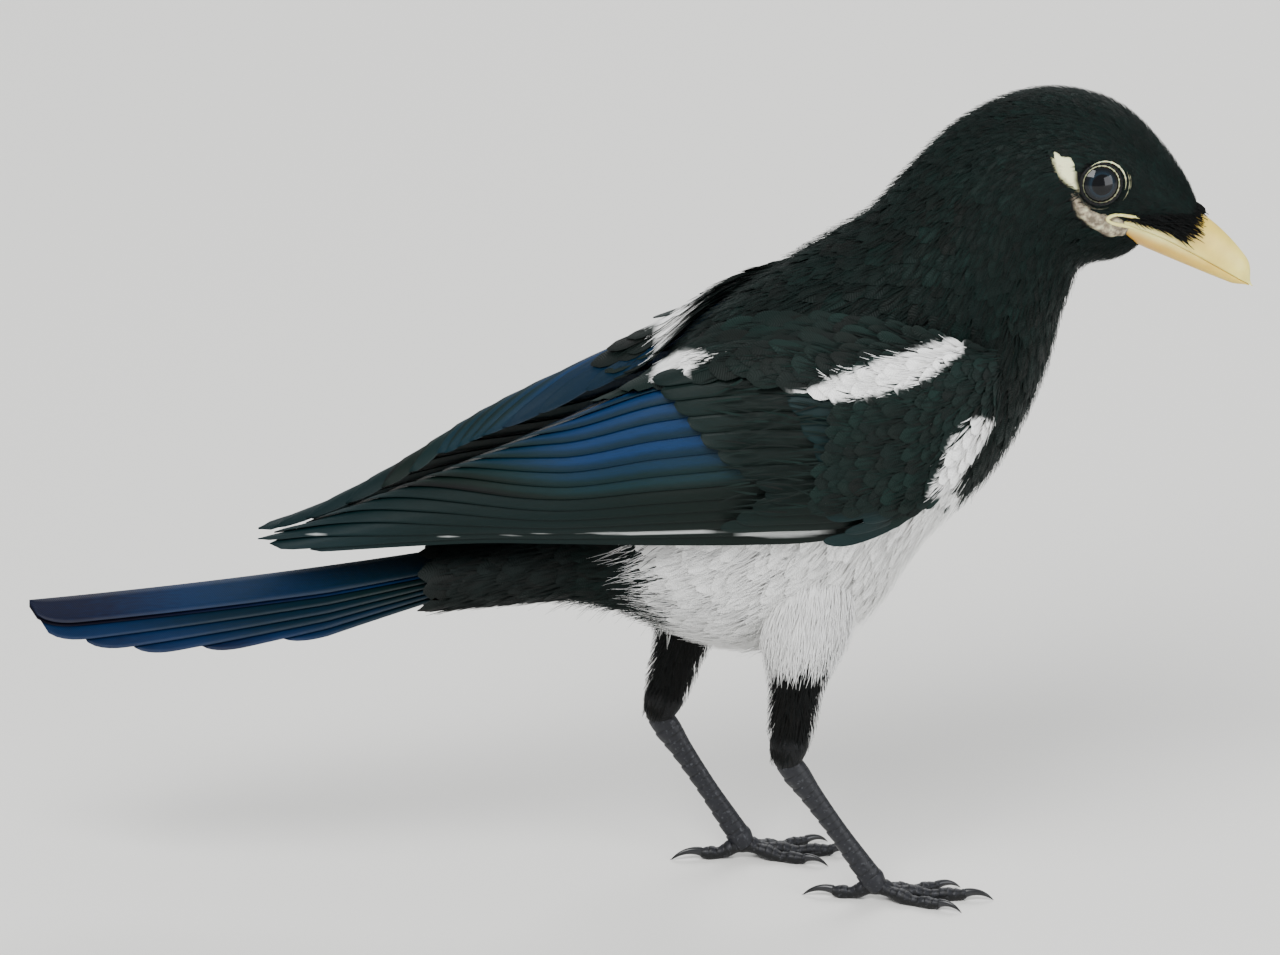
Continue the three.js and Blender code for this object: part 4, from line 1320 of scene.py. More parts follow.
@dataclass(frozen=True)
class FlightVane(Finish):
    """Wing and tail feathers: tight keratin vanes with a film that splits light.

    Close barbs lie flat as cloth, so each feather takes a soft gloss, and its green, blue or purple
    runs along it.
    """

    surface: ClassVar[str] = "vane_iridescent_keratin"
    even: ClassVar[dict[str, float]] = {"Roughness": 0.42, "Specular IOR Level": 0.16}
    stops: tuple[tuple[float, str], ...] = (
        (0.0, "#050607"),
        (0.15, "#090C0C"),
        (0.32, "#0A1D18"),
        (0.48, "#08292C"),
        (0.62, "#082D44"),
        (0.76, "#0A3564"),
        (0.88, "#0F1A3E"),
        (1.0, "#151226"),
    )
    white: str = "#E8ECEA"
    barb_spacing_mm: float = 0.5
    barb_slant: float = 0.5
    streaks: tuple[float, float, float] = (30.0, 3.0, 1.0)

    def paint(self, tree: bpy.types.NodeTree) -> dict[str, Source]:
        """The film's colour by the feather's hue, swayed in streaks along it, or white.

        Args:
            tree: the material's nodes.

        Returns:
            What each of the shader's sockets takes.
        """
        hue, white, tone = carried(tree, "hue", "white", "tone")
        place = node(tree, "ShaderNodeUVMap", {"uv_map": VANE_MAP})
        long = node(tree, "ShaderNodeMapping", {"Scale": self.streaks}, {"Vector": place})
        streaks = node(tree, NOISE, {"Scale": 1.0, "Detail": 4.0}, {"Vector": long})
        sway = node(tree, MATH, {"operation": "MULTIPLY_ADD", 1: 0.16, 2: -0.08}, {0: streaks})
        swayed = node(tree, MATH, {"operation": "ADD"}, {0: hue, 1: sway})
        colour = node(tree, RAMP, {"stops": self.stops}, {"Fac": swayed})
        marked = node(tree, MIX, COLOURS | {7: linear(self.white)}, {0: white, 6: colour})
        barbs = barb_wave(tree, self.barb_spacing_mm, self.barb_slant)
        lined = node(tree, MATH, {"operation": "MULTIPLY_ADD", 1: 0.2}, {0: barbs, 2: tone})
        return {
            "Base Color": node(tree, MIX, TIMES, {6: marked, 7: lined}),
            "Normal": node(tree, BUMP, {"Strength": 0.25, "Distance": 0.0002}, {"Height": barbs}),
        }


@dataclass(frozen=True)
class BillHorn(Finish):
    """The bill's horny sheath: smooth grown keratin, orange-yellow at its base and cream at its tip.

    It is slightly waxy and lets a little light in, so its edges glow.
    """

    surface: ClassVar[str] = "bill_grown_horn"
    even: ClassVar[dict[str, float]] = {
        "Roughness": 0.38, "Subsurface Weight": 0.08, "Subsurface Scale": 0.002,
    }
    base: str = "#D6A024"
    middle: str = "#EACB58"
    tip: str = "#F6EC84"
    edge: str = "#F8F3A0"
    mottle_mm: float = 6.25
    grain_mm: float = 1.11

    def paint(self, tree: bpy.types.NodeTree) -> dict[str, Source]:
        """Yellow that pales along the bill and at its edges, with faint clouds in it.

        Args:
            tree: the material's nodes.

        Returns:
            What each of the shader's sockets takes.
        """
        along, pale = carried(tree, "along", "white")
        stops = ((0.1, self.base), (0.5, self.middle), (0.95, self.tip))
        colour = node(tree, RAMP, {"stops": stops}, {"Fac": along})
        marked = node(tree, MIX, COLOURS | {7: linear(self.edge)}, {0: pale, 6: colour})
        clouds = grown(tree, self.mottle_mm, Detail=4.0)
        mottled = node(tree, RAMP, {"stops": ((0.35, "#E2D9C8"), (0.65, "#FFFFFF"))}, {"Fac": clouds})
        grain = grown(tree, self.grain_mm, Detail=3.0)
        return {
            "Base Color": node(tree, MIX, TIMES | {0: 0.6}, {6: marked, 7: mottled}),
            "Normal": node(tree, BUMP, {"Strength": 0.15, "Distance": 0.0002}, {"Height": grain}),
        }


@dataclass(frozen=True)
class EyeSurface(Finish):
    """A wet eye under its clear horny layer: a grey-blue iris round a black pupil.

    The wet coat gives one sharp highlight, and the iris under it stays deep.
    """

    surface: ClassVar[str] = "eye_wet"
    even: ClassVar[dict[str, float]] = {
        "Roughness": 0.08, "Specular IOR Level": 0.16, "Coat Weight": 0.25, "Coat Roughness": 0.02,
    }
    iris_outer: str = "#070B0F"
    iris_inner: str = "#12202A"
    pupil: str = "#020306"
    rim: str = "#0A0D0F"

    def paint(self, tree: bpy.types.NodeTree) -> dict[str, Source]:
        """Pupil, iris and dark rim, from the middle outwards.

        Args:
            tree: the material's nodes.

        Returns:
            What each of the shader's sockets takes.
        """
        out, = carried(tree, "along")
        edge = EYE.pupil / EYE.opening
        stops = ((0.0, self.pupil), (edge - 0.02, self.pupil), (edge + 0.05, self.iris_inner),
                 (0.85, self.iris_outer), (1.0, self.rim))
        return {"Base Color": node(tree, RAMP, {"stops": stops}, {"Fac": out})}


@dataclass(frozen=True)
class SkinFinish(Finish):
    """Bare skin of the head and lids: thin and dry, finely creased, pale yellow to pinkish grey.

    Blotches of the two and the creases between them keep it from looking like paint.
    """

    surface: ClassVar[str] = "skin_thin_dry"
    even: ClassVar[dict[str, float]] = {
        "Roughness": 0.55, "Specular IOR Level": 0.2, "Subsurface Weight": 0.1, "Subsurface Scale": 0.001,
    }
    yellow: str = "#EFF0BE"
    pink: str = "#9D927C"
    fold: str = "#6A6152"
    dark: str = "#08090B"
    under_white: str = "#C4BFB8"
    blotch_mm: float = 1.43
    crease_mm: float = 0.67

    def paint(self, tree: bpy.types.NodeTree) -> dict[str, Source]:
        """Bare skin in blotches, and under the coat a shade of the feathers over it.

        Args:
            tree: the material's nodes.

        Returns:
            What each of the shader's sockets takes.
        """
        bare, white, pinkness = carried(tree, "bare", "white", "hue")
        blotch = grown(tree, self.blotch_mm, Detail=4.0)
        swing = node(tree, MATH, {"operation": "MULTIPLY_ADD", 1: 1.1}, {0: blotch, 2: pinkness})
        stops = ((0.5, self.yellow), (0.85, self.pink), (1.0, self.fold))
        flesh = node(tree, RAMP, {"stops": stops}, {"Fac": swing})
        under = node(tree, RAMP, {"stops": ((0.2, self.dark), (0.8, self.under_white))}, {"Fac": white})
        creases = grown(tree, self.crease_mm, "ShaderNodeTexVoronoi", feature="DISTANCE_TO_EDGE")
        return {
            "Base Color": node(tree, MIX, COLOURS, {0: bare, 6: under, 7: flesh}),
            "Normal": node(tree, BUMP, {"Strength": 0.5, "Distance": 0.0003},
                           {"Height": creases.outputs["Distance"]}),
        }


@dataclass(frozen=True)
class LegScale(Finish):
    """Leg scutes: hard grown keratin plates, slate grey, scuffed pale at their edges.

    The grooves stay dark and the pale flecks break the plates up, as on the living bird.
    """

    surface: ClassVar[str] = "leg_scute_keratin"
    even: ClassVar[dict[str, float]] = {"Roughness": 0.48, "Specular IOR Level": 0.3}
    plate: str = "#191A1F"
    groove: str = "#08090B"
    worn: str = "#5A5C61"
    fleck_mm: float = 0.91

    def paint(self, tree: bpy.types.NodeTree) -> dict[str, Source]:
        """Plates and the grooves between them, with worn flecks.

        Args:
            tree: the material's nodes.

        Returns:
            What each of the shader's sockets takes.
        """
        raised, = carried(tree, "along")
        flecks = grown(tree, self.fleck_mm, Detail=4.0)
        stops = ((0.05, self.groove), (0.4, self.plate), (0.95, self.plate))
        plates = node(tree, RAMP, {"stops": stops}, {"Fac": raised})
        wear = node(tree, RAMP, {"stops": ((0.58, "#000000"), (0.74, "#B0B0B0"))}, {"Fac": flecks})
        return {
            "Base Color": node(tree, MIX, COLOURS | {7: linear(self.worn)}, {0: wear, 6: plates}),
            "Normal": node(tree, BUMP, {"Strength": 0.3, "Distance": 0.0002}, {"Height": flecks}),
        }


@dataclass(frozen=True)
class ClawHorn(Finish):
    """Claws: dense curved horn, near black, polished by wear towards the point.

    The polish gives a narrow light along the curve.
    """

    surface: ClassVar[str] = "claw_dense_horn"
    even: ClassVar[dict[str, float]] = {"Roughness": 0.3}
    root: str = "#1C1D21"
    point: str = "#0B0C0E"
    grain_mm: float = 0.83

    def paint(self, tree: bpy.types.NodeTree) -> dict[str, Source]:
        """Horn that darkens towards the point.

        Args:
            tree: the material's nodes.

        Returns:
            What each of the shader's sockets takes.
        """
        along, = carried(tree, "along")
        stops = ((0.0, self.root), (0.8, self.point))
        grain = grown(tree, self.grain_mm, Detail=3.0)
        return {
            "Base Color": node(tree, RAMP, {"stops": stops}, {"Fac": along}),
            "Normal": node(tree, BUMP, {"Strength": 0.2, "Distance": 0.0001}, {"Height": grain}),
        }


@dataclass(frozen=True)
class FloorFinish(Finish):
    """The studio floor: matt painted board, off-white, so that the bird's shadow falls soft."""

    surface: ClassVar[str] = "floor_matt_paint"
    even: ClassVar[dict[str, float]] = {"Base Color": linear("#E9E8E4"), "Roughness": 0.7}
    grain_mm: float = 1.67

    def paint(self, tree: bpy.types.NodeTree) -> dict[str, Source]:
        """The fine orange-peel of rolled paint."""
        grain = grown(tree, self.grain_mm, Detail=2.0)
        return {"Normal": node(tree, BUMP, {"Strength": 0.02, "Distance": 0.0002}, {"Height": grain})}


@dataclass
class Finishes:
    """Every finish, made once."""

    contour: bpy.types.Material = field(default_factory=ContourPlumage().build)
    vane: bpy.types.Material = field(default_factory=FlightVane().build)
    bill: bpy.types.Material = field(default_factory=BillHorn().build)
    eye: bpy.types.Material = field(default_factory=EyeSurface().build)
    skin: bpy.types.Material = field(default_factory=SkinFinish().build)
    leg: bpy.types.Material = field(default_factory=LegScale().build)
    claw: bpy.types.Material = field(default_factory=ClawHorn().build)
    floor: bpy.types.Material = field(default_factory=FloorFinish().build)


# The skin


@dataclass
class Skin:
    """One skin under the plumage of torso, neck, head and shins."""

    body: BodyForm
    finishes: Finishes
    rows: int = 260
    columns: int = 180
    depth: tuple[float, ...] = (2, 2.6, 3.4, 3.6, 3.4, 3.2, 2.8, 2.2, 1.6, 1.2, 1.0, 1.0, 1.0, 0.8)
    shin_depth: float = 1.8

    def trunk(self) -> Shape:
        """The skin of torso, neck and head, nearer the plumage's surface where it is bare.

        Returns:
            The closed tube.
        """
        s = np.linspace(0, LAST, self.rows)[None, :, None]
        s, turn = np.broadcast_arrays(s, around(self.columns)[None, None, :])
        outer = self.body.point(s, turn, np.zeros(s.shape))
        bare = bare_share(outer, 0.7) * (s > HEAD_START)
        inset = -curve(self.depth, s) * (1 - 0.75 * bare)
        points = self.body.point(s, turn, inset)
        patch = inside_outline(outer[..., 0], outer[..., 2], EYE_PATCH)
        pink = np.where(patch > -1, -0.15, 0.36)
        fields = {"bare": bare, "white": belly_white(outer), "hue": pink}
        return ringed(points, fields, {BAKE_MAP: self.body.bake(s, turn - 1e-6)})

    def shin(self, side: Side) -> Shape:
        """The skin of one shin, from inside the torso down to the ankle.

        Args:
            side: which side.

        Returns:
            The closed tube.
        """
        form = shin_form(side)
        t = np.linspace(0, 1.05, 48)[None, :, None]
        t, turn = np.broadcast_arrays(t, around(40)[None, None, :])
        points = form.point(t, turn, -self.shin_depth * (1 - smooth(0.86, 0.93, t)))
        points = form.rounded(points, t, np.clip((t - 0.99) / 0.06, 0, ROUND_END))
        heel = smooth(0.86, 0.9, t) * smooth(-0.1, -0.4, np.cos(turn))
        white = smooth(ShinCoat.white_above - 1, ShinCoat.white_above + 2, points[..., 2])
        fields = {"bare": heel * 0.9, "white": white, "hue": 0.3 + 0 * t}
        return ringed(points, fields, {BAKE_MAP: form.bake(t, turn - 1e-6)})

    def build(self) -> bpy.types.Object:
        """Joins trunk and shins into one closed skin.

        Returns:
            The skin's object.
        """
        base = bpy.data.objects.new("skin", mesh_of("skin", self.trunk()))
        bpy.context.scene.collection.objects.link(base)
        tools = []
        for side in Side:
            tool = bpy.data.objects.new("shin_tool", mesh_of("shin_tool", self.shin(side)))
            bpy.context.scene.collection.objects.link(tool)
            cut = base.modifiers.new("join", "BOOLEAN")
            cut.operation = "UNION"
            cut.solver = "EXACT"
            cut.object = tool
            tools.append(tool)
        bpy.context.view_layer.update()
        graph = bpy.context.evaluated_depsgraph_get()
        whole = bpy.data.meshes.new_from_object(base.evaluated_get(graph))
        base.modifiers.clear()
        base.data = whole
        for tool in tools:
            bpy.data.objects.remove(tool)
        base.data.materials.clear()
        base.data.materials.append(self.finishes.skin)
        declare(base, ("torso", "neck", "head", "shin_right", "shin_left"))
        LOG.info("skin: %d faces", len(base.data.polygons))
        return base


# The coat


class Region(Enum):
    """Stretches of the body's coat, each a piece of its own."""

    CROWN = "crown"
    FACE = "face"
    NECK = "neck"
    BACK = "back"
    BREAST = "breast"
    BELLY = "belly"
    VENT = "vent"


# The stretch of the flanks that the wings lie on: heights under and over it along X
UNDER_WING_X = (-8, 5, 30, 52, 68, 79, 86)
WING_UNDER = (112, 106, 108, 109, 117, 131, 150)
WING_OVER = (108, 120, 136, 141, 143, 142, 146)


@dataclass
class BodyCoat:
    """Contour feathers over torso, neck and head, in two layers: vanes, and locks of loose barbs.

    Lengths, gaps and depths have a value for each of the body's stations.
    """

    body: BodyForm
    finishes: Finishes
    rng: np.random.Generator
    vane_length: tuple[float, ...] = (12, 12, 13, 13, 12, 11, 10, 8.5, 7, 5.6, 4.4, 3.4, 2.6, 2.4)
    vane_gap: tuple[float, ...] = (3.8, 3.8, 4, 4, 3.8, 3.5, 3.1, 2.7, 2.2, 1.9, 1.6, 1.3, 1.0, 1.0)
    lock_length: tuple[float, ...] = (9, 9, 10, 10, 9, 8, 7, 6, 4.6, 3.5, 2.8, 2.4, 2.4, 2.6)
    lock_gap: tuple[float, ...] = (
        1.1, 1.05, 1.0, 1.0, 1.0, 0.97, 0.92, 0.85, 0.72, 0.62, 0.56, 0.5, 0.46, 0.46,
    )
    depth: tuple[float, ...] = (2, 2.6, 3.4, 3.6, 3.4, 3.2, 2.8, 2.2, 1.6, 1.2, 1.0, 1.0, 0.9, 0.7)
    eye_clear: float = 5.4
    chin_end: float = 11.9
    belly_turn: float = 1.25
    vent_end: float = 1.6
    belly_end: float = 5.2

    def hidden(self, s: Array, turn: Array, points: Array) -> Array:
        """Where nothing grows: far under the wings, at the eyes and over the bill.

        Args:
            s: places between stations.
            turn: turns from the back's middle line.
            points: places, on the last axis.

        Returns:
            True where nothing grows.
        """
        x, y, z = points[..., 0], np.abs(points[..., 1]), points[..., 2]
        under, over = np.interp(x, UNDER_WING_X, WING_UNDER), np.interp(x, UNDER_WING_X, WING_OVER)
        wing = (x < UNDER_WING_X[-1]) & (x > UNDER_WING_X[0]) & (z > under) & (z < over) & (y > 8)
        eyes = np.zeros(x.shape, bool)
        for side in Side:
            middle, _, _, _ = eye_axes(side, self.body)
            eyes |= np.linalg.norm(points - middle, axis=-1) < self.eye_clear
        edge = np.where(np.cos(turn) > 0, LAST, self.chin_end)
        return wing | eyes | (s > edge) | self.in_bill(points)

    @staticmethod
    def in_bill(points: Array) -> Array:
        """Whether places lie within the bill, where it leaves the head.

        Args:
            points: places, on the last axis.

        Returns:
            True within the bill.
        """
        x, y, z = points[..., 0], np.abs(points[..., 1]), points[..., 2]
        t = np.interp(x, BILL[:, 0], np.arange(len(BILL)))
        _, line, _, over, under, wide = np.moveaxis(curve(BILL, t), -1, 0)
        flat = np.where(z > line, (z - line) / (over * 0.62), (line - z) / (under * 1.1))
        return (x > 119) & (np.hypot(flat, y / (wide * 1.05)) < 1)

    def region_of(self, s: Array, turn: Array) -> Array:
        """The region's number at each root.

        Args:
            s: places between stations.
            turn: turns from the back's middle line.

        Returns:
            Numbers in the order of the regions.
        """
        number = {region: i for i, region in enumerate(Region)}
        low = np.abs((turn + math.pi) % TAU - math.pi) > self.belly_turn
        front = np.where(s < self.belly_end, number[Region.BELLY], number[Region.BREAST])
        under = np.where(s < self.vent_end, number[Region.VENT], front)
        body = np.where(low, under, number[Region.BACK])
        head = np.where(np.cos(turn) > 0.3, number[Region.CROWN], number[Region.FACE])
        return np.where(s > HEAD_START, head, np.where(s > NECK_START, number[Region.NECK], body))

    def grow(self, gaps: tuple[float, ...], lengths: tuple[float, ...], width_share: float,
             loose: bool) -> tuple[Growth, Array]:
        """Sets one layer of feathers.

        Args:
            gaps: distance between roots at each station.
            lengths: feather length at each station.
            width_share: width as a share of the distance between roots.
            loose: whether they are loose locks, which stray more than vanes.

        Returns:
            The feathers and the region of each.
        """

        def spacing(s: Array, turn: Array, points: Array) -> Array:
            """Distance wanted between roots."""
            return np.where(self.hidden(s, turn, points), 0, curve(gaps, s))

        s, turn, points = scatter(self.body, (0.02, -math.pi), (LAST, math.pi), spacing, self.rng)
        count = len(s)
        length = curve(lengths, s) * self.rng.uniform(0.8, 1.2, count)
        rate, _ = speeds(self.body, s, turn)
        tips = self.body.point(np.maximum(s - length / np.maximum(rate, 1), 0), turn, np.zeros(count))
        middles = 0.5 * (tips + points)
        bare = np.maximum(bare_share(points, 0.3), bare_share(middles, 0.3)) * (s > HEAD_START)
        keep = bare < np.where(loose & (self.rng.uniform(0, 1, count) < 0.14), 0.98, 0.5)
        s, turn, points, length = s[keep], turn[keep], points[keep], length[keep]
        count = len(s)
        depth = curve(self.depth, s)
        rear = smooth(3, 1.6, s)
        ragged = points + self.rng.normal(0, 1, points.shape) * (1 + 1.5 * rear)[:, None]
        white = (belly_white(ragged) > 0.5).astype(float)
        low = smooth(92, 82, points[:, 2])
        fluffy = white * np.maximum(rear, 0.6 * low) if loose else 0 * white
        vent = 3.4 * smooth(2.7, 1.5, s) * (np.cos(turn) < 0) * (1 - white)
        stray = 0.16 if loose else 0.06
        growth = Growth(
            u=s,
            v=turn,
            length=length * (1 + (0.35 * white + 0.12 * vent) * loose + 0.6 * fluffy),
            width=curve(gaps, s) * width_share * self.rng.uniform(0.85, 1.15, count),
            turn=self.rng.normal(0, stray, count),
            root=-0.85 * depth,
            tip=np.where(loose, 0.2, -0.45) * np.ones(count),
            flare=self.flares(count, loose) * (1 + 1.6 * fluffy + vent) * np.minimum(depth / 2, 1),
            white=white,
            tone=self.rng.uniform(0, 1, count),
            hue=self.rng.uniform(0.3, 0.75, count),
        )
        return growth, self.region_of(s, turn)

    def flares(self, count: int, loose: bool) -> Array:
        """How far tips stand off: little for most, more for the few that make the outline soft."""
        stray = self.rng.uniform(0, 1, count) < 0.12
        return loose * self.rng.uniform(0, 0.45, count) * np.where(stray, 2.6, 1)

    def build(self) -> None:
        """Makes one piece for each region."""
        vanes, vane_regions = self.grow(self.vane_gap, self.vane_length, 1.9, False)
        locks, lock_regions = self.grow(self.lock_gap, self.lock_length, 0.6, True)
        for number, region in enumerate(Region):
            few = self.picked(vanes, vane_regions == number)
            many = self.picked(locks, lock_regions == number)
            bends = self.rng.normal(0, 0.08, len(many))
            lean = 0.9 if region is Region.BELLY else 0.8
            shape = joined([
                feathers(self.body, few, 5, 5, 0.12, vane_outline, lean=lean),
                feathers(self.body, many, 4, 3, 0.12, lock_outline, bends, lean=lean),
            ])
            piece(f"coat_{region.value}", shape, self.finishes.contour)

    @staticmethod
    def picked(growth: Growth, mask: Array) -> Growth:
        """The feathers that a mask names."""
        return Growth(**{k: np.asarray(v)[mask] for k, v in vars(growth).items()})


@dataclass
class ShinCoat:
    """Short black feathers down each shin."""

    body: BodyForm
    finishes: Finishes
    rng: np.random.Generator
    gap: float = 0.8
    length: float = 6.0
    depth: float = 1.8
    white_above: float = 71.0

    def build(self) -> None:
        """Makes a piece for each leg."""
        for side in Side:
            form = shin_form(side)

            def spacing(u: Array, v: Array, points: Array) -> Array:
                """Distance wanted between roots, none up inside the body."""
                heel = (u > 0.86) & (np.cos(v) < -0.15)
                upper = points[..., 2] > self.white_above
                buried = self.body.outside(points)[0] < -2.5
                return np.where(buried | heel, 0.0, np.where(upper, 0.52, self.gap))

            u, v, places = scatter(form, (0.0, -math.pi), (0.965, math.pi), spacing, self.rng)
            count = len(u)
            length = self.length * self.rng.uniform(0.7, 1.15, count)
            white = (places[:, 2] + self.rng.normal(0, 1.8, count) > self.white_above).astype(float)
            width = 0.6 + 0.2 * white
            length = np.minimum(length * (1 + 0.9 * white), (1.0 - u) * form.length + 1.4)
            growth = Growth(
                u=u,
                v=v,
                length=length,
                width=width,
                turn=self.rng.normal(0, 0.12, count),
                root=-self.depth * (1 - smooth(0.86, 0.93, u)) - 0.1,
                tip=0.3 * smooth(0.8, 0.95, u),
                flare=self.rng.uniform(0, 0.5, count) * (1 + white),
                white=white,
                tone=self.rng.uniform(0, 1, count),
            )
            shape = feathers(form, growth, 4, 3, 0.12, lock_outline, self.rng.normal(0, 0.06, count))
            piece(f"coat_shin_{side.word}", shape, self.finishes.contour)


# Wings


@dataclass(frozen=True)
class Tier:
    """A tier of the wing's large feathers, from its low edge to its inner edge."""

    name: str
    tips: tuple[float, ...]
    root: float
    height: float
    laps: float
    start: float
    end: float
    fans: bool
    blunt: float


TIERS = (
    Tier("flight", PRIMARY_TIPS + SECONDARY_TIPS + TERTIAL_TIPS, 40, 1.5, 1.85, 0, 0.98, True, 7),
    Tier("greater", GREATER_TIPS, 57, 4.6, 1.65, 0.11, 0.76, False, 6),
    Tier("median", MEDIAN_TIPS, 70, 7.4, 1.65, 0.2, 0.74, False, 6),
    Tier("alula", ALULA_TIPS, 71, 8.0, 1.5, -0.02, 0.2, False, 8),
)
# Height of the wing's top layer over its sheet along X
COVER_X = (-98, 5, 20, 45, 60, 70, 80, 85.5, 88)
COVER_HEIGHT = (1.5, 2.5, 6.0, 8.7, 9.3, 8.6, 5.5, 3, 1)
# Below this share across the wing, feathers are shaded as if they lay there, since the edge turns under
NORMAL_FROM = 0.12
# The lowest three flight feathers start this much further forward, under the coverts
LOW_ROOTS = 14
LOW_COUNT = 3
# From this share across the wing on, flight feathers crowd up at its inner edge
INNER_FROM = 0.98
INNER_CROWD = 0.35
# Half the gap between the two wings behind the rump, and how softly they draw up to it
MEETING_GAP = 0.2
MEETING_SOFT = 1.2
# Primaries from this one inwards take the secondaries' blue
INNER_PRIMARY = 6
# Small coverts: the stretch of wing they may grow on, as lowest and highest x and share across, then
# lengths and widths along X, and the share across from which they are scapulars
COVERT_SPAN = ((0, 0.01), (88, 1.0))
COVERT_LENGTH = ((10, 40, 70, 88), (14, 10, 7, 4))
COVERT_WIDTH = ((10, 34, 60, 74, 88), (7, 5, 4, 3, 2.2))
COVERT_LOCK_LENGTH = ((10, 40, 70, 88), (9, 8, 6, 4))
SCAPULARS_FROM = ((0, 20, 45, 70), (0.8, 0.74, 0.68, 0.6))
# White inner webs that show along the wing's low edge: height over it, half width, back and front end
WING_SLIVERS = ((4.1, 0.8, -14, 20), (2.8, 1.9, 23, 47))


def arc(x: Array, back: float, front: float) -> Array:
    """A hump of 1 halfway between back and front, down to 0 at both."""
    return np.sqrt(np.maximum(np.sin(math.pi * np.clip((x - back) / (front - back), 0, 1)), 0))


